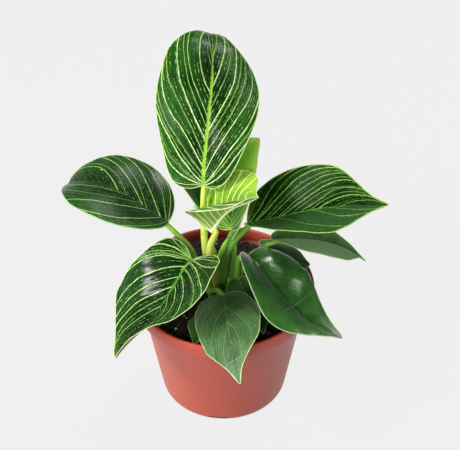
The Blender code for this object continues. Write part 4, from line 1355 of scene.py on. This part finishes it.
@dataclass(frozen=True)
class Pot:
    """The tapered nursery pot, with its rim band, recessed floor, notches and holes."""

    rim_radius: float = 60.0
    height: float = 85.0
    band: float = 10.0
    band_bottom_radius: float = 59.5
    body_top_radius: float = 54.5
    foot_radius: float = 43.0
    wall: float = 1.4
    lip: float = 2.0
    floor: float = 2.0
    recess: float = 2.0
    recess_inner: float = 22.0
    recess_outer: float = 38.5
    notch_width: float = 13.0
    notch_height: float = 2.0
    notch_depth: float = 9.0
    notches: int = 4
    notch_angle: float = 265.0
    drain_radius: float = 3.0
    drains: int = 8
    drain_circle: float = 30.0
    segments: int = 192

    OVERCUT = 2.0
    SHARP = 40.0

    @property
    def slope(self) -> float:
        """Return how much the wall leans out with its height."""
        return (self.body_top_radius - self.foot_radius) / (self.height - self.band)

    def inside(self, height: float) -> float:
        """Follow the wall's inner side below the rim band.

        Args:
            height: Height above the table in millimetres.

        Returns:
            The inner radius there.
        """
        floor_top = self.recess + self.floor
        low = self.foot_radius - self.wall + self.slope * floor_top
        high = self.body_top_radius - self.wall
        top = self.height - self.band + 0.6
        return low + (high - low) * (height - floor_top) / (top - floor_top)

    def profile(self) -> list[Pair]:
        """Draw the closed wall outline, with softened corners.

        Returns:
            Its places as (radius, height).
        """
        band, top = self.height - self.band, self.height
        floor_top = self.recess + self.floor
        foot, body, rim = self.foot_radius, self.body_top_radius, self.rim_radius
        edge, inner = self.band_bottom_radius, self.rim_radius - self.lip
        under = edge - self.lip
        return [
            (0.0, 0.0), (self.recess_inner - 0.4, 0.0), (self.recess_inner, 0.4),
            (self.recess_inner, self.recess), (self.recess_outer, self.recess), (self.recess_outer, 0.4),
            (self.recess_outer + 0.4, 0.0), (foot - 0.9, 0.0), (foot - 0.35, 0.2), (foot, 0.8),
            (foot + 3.5 * self.slope, 3.5), (foot + 5.0 * self.slope, 5.0),
            (body - 0.12, band - 0.8), (body + 0.25, band - 0.1), (body + 0.8, band),
            (edge - 0.7, band), (edge - 0.15, band + 0.2), (edge, band + 0.7),
            (rim, top - 1.2), (rim - 0.12, top - 0.6), (rim - 0.5, top - 0.15), (rim - 1.0, top),
            (inner + 0.3, top - 0.1), (inner - 0.2, top - 0.4), (inner - 0.5, top - 1.2),
            (under - 0.6, band + 2.8), (under - 1.1, band + 2.0),
            (self.inside(band + 0.6) + 0.5, band + 0.9), (self.inside(band), band),
            (self.inside(floor_top), floor_top + 0.8), (self.inside(floor_top) - 0.8, floor_top),
            (0.0, floor_top),
        ]

    def build(self, finish: MouldedTerracotta) -> bpy.types.Object:
        """Turn the wall round the axis and cut the openings.

        Args:
            finish: What the pot is made of.

        Returns:
            The pot's piece.
        """
        points, rows = turned(self.profile(), self.segments)
        piece = mesh_object("pot_shell", np.array(points), loft(rows), (finish.material(),))
        turn_outward(piece)
        self.cut(piece)
        piece.data.set_sharp_from_angle(angle=math.radians(self.SHARP))
        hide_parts("pot")
        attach(piece, BODY)
        return piece

    def cut(self, piece: bpy.types.Object) -> None:
        """Cut the foot's notches and the floor's drain holes.

        Args:
            piece: The pot's piece, whose mesh is changed.
        """
        work = bmesh.new()
        middle = (self.recess_outer + self.foot_radius) / 2
        tall = self.notch_height + self.OVERCUT
        for k in range(self.notches):
            turn = math.radians(self.notch_angle + 360.0 * k / self.notches)
            for vertex in bmesh.ops.create_cube(work, size=1.0)["verts"]:
                x, y = vertex.co.x * self.notch_depth + middle, vertex.co.y * self.notch_width
                vertex.co = Vector((x * math.cos(turn) - y * math.sin(turn),
                                    x * math.sin(turn) + y * math.cos(turn),
                                    self.notch_height + tall * (vertex.co.z - 0.5))) * MM
        hole = self.drain_radius * MM
        deep = (self.recess + self.floor + self.OVERCUT) * MM
        for k in range(self.drains):
            turn = 2 * math.pi * (k + 0.5) / self.drains
            place = Vector((math.cos(turn), math.sin(turn), 0.0)) * self.drain_circle * MM
            made = bmesh.ops.create_cone(work, cap_ends=True, segments=32, radius1=hole, radius2=hole,
                                         depth=deep)
            for vertex in made["verts"]:
                vertex.co += place + Vector((0.0, 0.0, deep / 2))
        mesh = bpy.data.meshes.new("openings")
        work.to_mesh(mesh)
        work.free()
        tool = bpy.data.objects.new("openings", mesh)
        bpy.context.scene.collection.objects.link(tool)
        change = piece.modifiers.new("openings", "BOOLEAN")
        change.operation = "DIFFERENCE"
        change.solver = "EXACT"
        change.object = tool
        applied(piece)
        bpy.data.objects.remove(tool)


@dataclass(frozen=True)
class PottingMix:
    """Damp peat: nearly black brown, matt, with lighter fibres and crumbs."""

    dark: str = "15100D"
    light: str = "2C2019"

    def material(self) -> bpy.types.Material:
        """Make the soil's material.

        Returns:
            The finished material.
        """
        paint = Paint("damp peat", self.dark)
        coarse = add(paint.tree, "TexNoise", {"Vector": paint.place, "Scale": 260.0, "Detail": 4.0,
                                              "Roughness": 0.65})
        paint.lay(self.light, coarse, (0.42, 0.72))
        bump = add(paint.tree, "Bump", {"Height": coarse, "Strength": 0.8, "Distance": 0.6 * MM})
        rough = add(paint.tree, "MapRange", (coarse, *NOISE, 0.75, 0.98))
        return paint.finish({"Roughness": rough, "Normal": bump})


@dataclass(frozen=True)
class Grain:
    """Loose grains on the soil: crumbs of peat, perlite or bark."""

    name: str
    density: float
    smallest: float
    largest: float
    stretch: float
    seed: int
    colours: tuple[str, str]
    roughness: float = 0.9
    sunk: float = 0.2

    # Radians of the largest turn about each axis, and a grain's height against its width.
    TURN = 6.28
    FLATNESS = 0.8

    def material(self) -> bpy.types.Material:
        """Make the grain's material: a matt, uneven mineral or plant surface.

        Returns:
            The finished material.
        """
        paint = Paint(self.name, self.colours[0])
        noise = add(paint.tree, "TexNoise", {"Vector": paint.place, "Scale": 500.0, "Detail": 3.0})
        paint.lay(self.colours[1], noise, (0.35, 0.65))
        bump = add(paint.tree, "Bump", {"Height": noise, "Strength": 0.5, "Distance": 0.2 * MM})
        return paint.finish({"Roughness": self.roughness, "Normal": bump})

    def tree(self) -> bpy.types.NodeTree:
        """Build the Geometry Nodes tree that strews the grains on a surface.

        Returns:
            The new tree.
        """
        tree = bpy.data.node_groups.new(f"strew {self.name}", "GeometryNodeTree")
        sockets = {"Surface": "Geometry", "Density": "Float", "Smallest": "Float", "Largest": "Float",
                   "Stretch": "Float", "Sunk": "Float", "Seed": "Int", "Paint": "Material"}
        for name, kind in sockets.items():
            tree.interface.new_socket(name, in_out="INPUT", socket_type=f"NodeSocket{kind}")
        tree.interface.new_socket("Grains", in_out="OUTPUT", socket_type="NodeSocketGeometry")
        given = add(tree, "NodeGroupInput").outputs
        spread = add(tree, "GeometryNodeDistributePointsOnFaces", {
            "Mesh": given["Surface"], "Density": given["Density"], "Seed": given["Seed"]})
        size = add(tree, "FunctionNodeRandomValue", {2: given["Smallest"], 3: given["Largest"],
                                                     "Seed": given["Seed"]}, data_type="FLOAT")
        turn = add(tree, "FunctionNodeRandomValue", {0: (0.0,) * 3, 1: (self.TURN,) * 3,
                                                     "Seed": given["Seed"]}, data_type="FLOAT_VECTOR")
        lump = add(tree, "GeometryNodeMeshIcoSphere", {"Radius": 0.5, "Subdivisions": 2})
        formed = add(tree, "GeometryNodeTransform", {
            "Geometry": lump, "Scale": add(tree, "CombineXYZ", (given["Stretch"], 1.0, self.FLATNESS))})
        placed = add(tree, "GeometryNodeInstanceOnPoints", {
            "Points": spread, "Instance": formed, "Rotation": turn, "Scale": size})
        real = add(tree, "GeometryNodeRealizeInstances", (placed,))
        # Each grain is dented by noise of about 1.5 mm and sunk into the soil.
        here = add(tree, "GeometryNodeInputPosition")
        rough = add(tree, "TexNoise", {"Vector": here, "Scale": 700.0, "Detail": 1.0})
        centred = add(tree, "VectorMath", (rough.outputs["Color"], (0.5, 0.5, 0.5)), operation="SUBTRACT")
        push = add(tree, "VectorMath", {0: centred, "Scale": given["Largest"]}, operation="SCALE")
        sink = add(tree, "VectorMath", {0: (0.0, 0.0, -1.0), "Scale": given["Sunk"]}, operation="SCALE")
        moved = add(tree, "VectorMath", (push, sink), operation="ADD")
        bumpy = add(tree, "GeometryNodeSetPosition", {"Geometry": real, "Offset": moved})
        again = add(tree, "GeometryNodeRealizeInstances", (bumpy,))
        painted = add(tree, "GeometryNodeSetMaterial", {"Geometry": again, "Material": given["Paint"]})
        add(tree, "NodeGroupOutput", (painted,))
        return tree

    def strew(self, surface: bpy.types.Mesh) -> bpy.types.Object:
        """Strew the grains on a copy of a surface.

        Args:
            surface: The mesh to strew on.

        Returns:
            The grains' piece, as a plain mesh.
        """
        holder = bpy.data.objects.new(self.name.replace(" ", "_"), surface.copy())
        bpy.context.scene.collection.objects.link(holder)
        change = holder.modifiers.new("strew", "NODES")
        change.node_group = self.tree()
        values = {"Density": self.density, "Smallest": self.smallest * MM, "Largest": self.largest * MM,
                  "Stretch": self.stretch, "Sunk": self.sunk * MM, "Seed": self.seed,
                  "Paint": self.material()}
        for item in change.node_group.interface.items_tree:
            if item.in_out == "INPUT" and item.name in values:
                change[item.identifier] = values[item.name]
        applied(holder)
        holder.data.shade_smooth()
        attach(holder, BODY)
        return holder


@dataclass(frozen=True)
class SoilBed:
    """The fill of potting soil, with a crumbly top round the crown."""

    pot: Pot
    crown: Crown
    level: float = 77.0
    lump: float = 0.54
    heap: float = 4.0
    heap_angle: float = 120.0
    seat: float = 0.3
    rings: int = 64
    sides: int = 192

    # How far below its level the bed meets the wall, and where its rim dips.
    WALL_DROP = 4.0
    RIM_START = 44.0
    RIM_DIP = 0.8
    CALM = 8.0
    # Waves of the crumbs: turns a millimetre along X and Y, and their start.
    CRUMBS = ((1.9, 0.7, 0.3), (-1.1, 2.3, 1.7), (3.1, 1.3, 2.9), (-2.7, 3.7, 0.9), (4.3, -2.1, 4.1))

    def height(self, x: float, y: float) -> float:
        """Work out the smooth height of the surface, as the solid has it.

        Args:
            x: Place in millimetres.
            y: Place in millimetres.

        Returns:
            The height in millimetres.
        """
        lumps = (math.sin(x * 0.31 + 1.1) * math.cos(y * 0.27 - 0.4)
                 + 0.6 * math.sin(x * 0.62 - y * 0.48 + 2.0) + 0.4 * math.cos(x * 0.23 + y * 0.71 + 0.7))
        turn = math.radians(self.heap_angle)
        toward = (x * math.cos(turn) + y * math.sin(turn)) / 50.0
        heap = self.heap * max(0.0, toward) ** 2
        crown = math.hypot(x - self.crown.x, y - self.crown.y)
        calm = min(1.0, max(0.0, (crown - self.crown.radius) / self.CALM))
        outer = min(1.0, max(0.0, (math.hypot(x, y) - self.RIM_START) / self.CALM))
        return self.level + (self.lump * lumps + heap) * calm - self.RIM_DIP * outer

    def crumble(self, x: float, y: float) -> float:
        """Return the crumbs' extra height, in millimetres."""
        slow = math.sin(0.83 * x - 0.41 * y) * math.cos(0.37 * x + 0.93 * y)
        return 0.16 * sum(math.sin(a * x + b * y + c) for a, b, c in self.CRUMBS) + 0.35 * slow

    def build(self, paint: bpy.types.Material, grains: Sequence[Grain]) -> list[bpy.types.Object]:
        """Build the bed and strew the grains on it.

        Args:
            paint: The soil's material.
            grains: The kinds of grain to strew.

        Returns:
            The bed's piece and one piece for each kind of grain.
        """
        bottom = self.pot.recess + self.pot.floor + self.seat
        wall_top = self.level - self.WALL_DROP
        wall_radius = self.pot.inside(wall_top) - self.seat
        hole = self.crown.radius + self.seat
        # Rings as share of the way to the wall, radius and height, if not the soil's own.
        rings: list[tuple[float, float, float | None]] = [
            (0.0, hole, self.crown.top - self.crown.depth - self.seat)]
        for k in range(self.rings + 1):
            rings.append((k / self.rings, hole + (wall_radius - hole) * k / self.rings, None))
        rings += [(1.0, wall_radius, wall_top), (1.0, self.pot.inside(bottom) - self.seat, bottom)]
        points: list[Point] = []
        rows: list[list[int]] = []
        for share, radius, given in rings:
            circle, _ = turned([(radius, given or 0.0)], self.sides, self.crown.x * (1 - share),
                               self.crown.y * (1 - share))
            if given is None:
                circle = [(x, y, self.height(x, y) + self.crumble(x, y) * min(1.0, 4 * share))
                          for x, y, _ in circle]
            rows.append(list(range(len(points), len(points) + self.sides)))
            points += circle
        bed = mesh_object("soil_bed", np.array(points), loft(rows), (paint,))
        turn_outward(bed)
        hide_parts("soil")
        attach(bed, BODY)

        # Grains lie on the open soil, a few rings away from the crown and from the wall.
        ground = rows[4:-3]
        faces = [(a, c, d, b) for low, high in zip(ground, ground[1:])
                 for a, b, c, d in zip(low, low[1:] + low[:1], high, high[1:] + high[:1])]
        sheet = mesh_object("strewing_ground", np.array(points), faces, (paint,))
        made = [bed] + [grain.strew(sheet.data) for grain in grains]
        bpy.data.objects.remove(sheet)
        return made


GRAINS = (
    Grain("peat crumbs", density=255000.0, smallest=0.85, largest=2.35, stretch=1.3, seed=3,
          colours=("0F0B08", "31251C")),
    Grain("perlite grains", density=5500.0, smallest=0.9, largest=1.9, stretch=1.2, seed=11,
          colours=("CFC7B6", "F0EBDD"), roughness=0.8, sunk=-0.3),
    Grain("bark chips", density=9000.0, smallest=1.0, largest=2.0, stretch=2.6, seed=5,
          colours=("4A3626", "7A6148"), roughness=0.8, sunk=-0.2),
)


@dataclass(frozen=True)
class SoftBox:
    """A soft box that faces the plant: place and size in metres, power in watts."""

    name: str
    place: Point
    size: Pair
    power: float
    mirrored: bool = True

    def hang(self, middle: Vector) -> None:
        """Hang the light so that it faces a place.

        Args:
            middle: The place, in metres.
        """
        data = bpy.data.lights.new(self.name, "AREA")
        data.shape, data.energy = "RECTANGLE", self.power
        data.size, data.size_y = self.size
        lamp = bpy.data.objects.new(self.name, data)
        bpy.context.scene.collection.objects.link(lamp)
        lamp.location = self.place
        lamp.visible_glossy = self.mirrored
        lamp.rotation_euler = (Vector(self.place) - middle).to_track_quat("Z", "Y").to_euler()


@dataclass(frozen=True)
class Studio:
    """Plain pale floor, soft lights and the camera of the photograph."""

    focal_pixels: float = 1100.0
    image_width: float = 460.0
    sensor: float = 36.0
    elevation: float = 39.144
    distance: float = 0.6944
    target_x: float = 0.0042
    target_z: float = 0.1346
    floor_colour: str = "EEEEEE"
    floor_reach: float = 12.0
    sweep: float = 0.55
    room: float = 0.06
    bounce: float = 0.36
    middle: Point = (0.0, 0.0, 0.11)
    lights: tuple[SoftBox, ...] = (
        SoftBox("key", (-0.784, -0.383, 0.868), (0.28, 0.28), 12.5),
        SoftBox("front", (-0.34, -0.95, 0.65), (0.42, 0.42), 6.0, mirrored=False),
        SoftBox("front glint", (-0.304, -0.882, 0.693), (0.20, 0.20), 0.8),
        SoftBox("left glint", (-1.003, 0.25, 0.486), (0.12, 0.12), 0.5),
        SoftBox("low left", (-0.95, -0.66, 0.16), (0.34, 0.34), 5.8),
        SoftBox("right", (0.95, -0.50, 0.40), (0.24, 0.24), 2.4),
        SoftBox("back right", (0.49, 0.76, 0.83), (0.14, 0.42), 4.2),
        SoftBox("right strip", (0.554, 0.388, 1.04), (0.18, 0.48), 2.4),
        SoftBox("above", (-0.17, 0.65, 1.10), (0.36, 0.36), 3.0),
    )

    # Painted shadow under the pot: inside its foot of 43 mm the floor's glow drops almost to nothing;
    # metres and glow.
    FOOT = (0.0420, 0.0430)
    SHADOW_AND_FLOOR_GLOW = (0.02, 0.98)
    # Sines of the height above the horizon where the sweep fades into the room, and at the horizon.
    SWEEP_END = (0.10, 0.34)
    HORIZON = (-0.04, 0.0)

    def camera(self) -> None:
        """Make the camera at the photograph's viewing angle."""
        data = bpy.data.cameras.new("camera")
        data.sensor_width = self.sensor
        data.lens = self.focal_pixels / self.image_width * self.sensor
        data.clip_start, data.clip_end = 0.01, 20.0
        eye = bpy.data.objects.new("camera", data)
        bpy.context.scene.collection.objects.link(eye)
        rise = math.radians(self.elevation)
        eye.location = (self.target_x, -self.distance * math.cos(rise),
                        self.target_z + self.distance * math.sin(rise))
        eye.rotation_euler = (math.pi / 2 - rise, 0.0, 0.0)
        bpy.context.scene.camera = eye

    def floor(self) -> None:
        """Lay the plain pale floor, which glows evenly but for a painted shadow under the pot, and throws
        no light on the plant.
        """
        paint = Paint("pale studio floor", self.floor_colour)
        reach = add(paint.tree, "VectorMath", (paint.place,), operation="LENGTH")
        # The glow drops under the pot: a painted shadow.
        glow_with_painted_shadow = add(paint.tree, "MapRange", (reach, *self.FOOT, *self.SHADOW_AND_FLOOR_GLOW))
        material = paint.finish({
            "Base Color": (0.02, 0.02, 0.02, 1.0), "Roughness": 1.0, "Specular IOR Level": 0.0,
            "Emission Color": from_hex(self.floor_colour), "Emission Strength": glow_with_painted_shadow})
        half = self.floor_reach / MM
        corners = np.array([(-half, -half, 0), (half, -half, 0), (half, half, 0), (-half, half, 0)])
        ground = mesh_object("floor", corners, [(0, 1, 2, 3)], (material,))
        ground.visible_diffuse = False

    def build(self) -> None:
        """Set up the world, the lights, the floor and the camera."""
        world = bpy.data.worlds.new("studio air")
        bpy.context.scene.world = world
        world.use_nodes = True
        tree = world.node_tree
        backdrop = tree.nodes["Background"]
        backdrop.inputs["Color"].default_value = (1.0, 1.0, 1.0, 1.0)
        # A white sweep up to about 10 degrees above the horizon and a dim room above it.
        # Below the horizon is the light that the floor throws back.
        toward = add(tree, "TexCoord").outputs["Generated"]
        rise = add(tree, "SeparateXYZ", (toward,)).outputs["Z"]
        glow = add(tree, "MapRange", (rise, *self.SWEEP_END, self.sweep, self.room))
        low = add(tree, "MapRange", (rise, *self.HORIZON, self.bounce, glow))
        tree.links.new(low.outputs["Result"], backdrop.inputs["Strength"])
        bpy.context.scene.view_settings.view_transform = "Standard"
        for box in self.lights:
            box.hang(Vector(self.middle))
        self.floor()
        self.camera()


def main() -> None:
    """Build the studio and every piece of the plant."""
    logging.basicConfig(level=logging.INFO, format="%(name)s: %(message)s")
    for thing in list(bpy.data.objects):
        bpy.data.objects.remove(thing)
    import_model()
    Studio().build()
    pot = Pot()
    crown = Crown()
    pieces = [pot.build(MouldedTerracotta()), crown.build(GREEN_STALK.material())]
    pieces += SoilBed(pot, crown).build(PottingMix().material(), GRAINS)
    pieces += [tube.build() for tube in TUBES]
    pieces += [blade.build() for blade in BLADES]
    for piece in pieces:
        LOG.info("%s: %d faces", piece.name, len(piece.data.polygons))


if __name__ == "__main__":
    main()
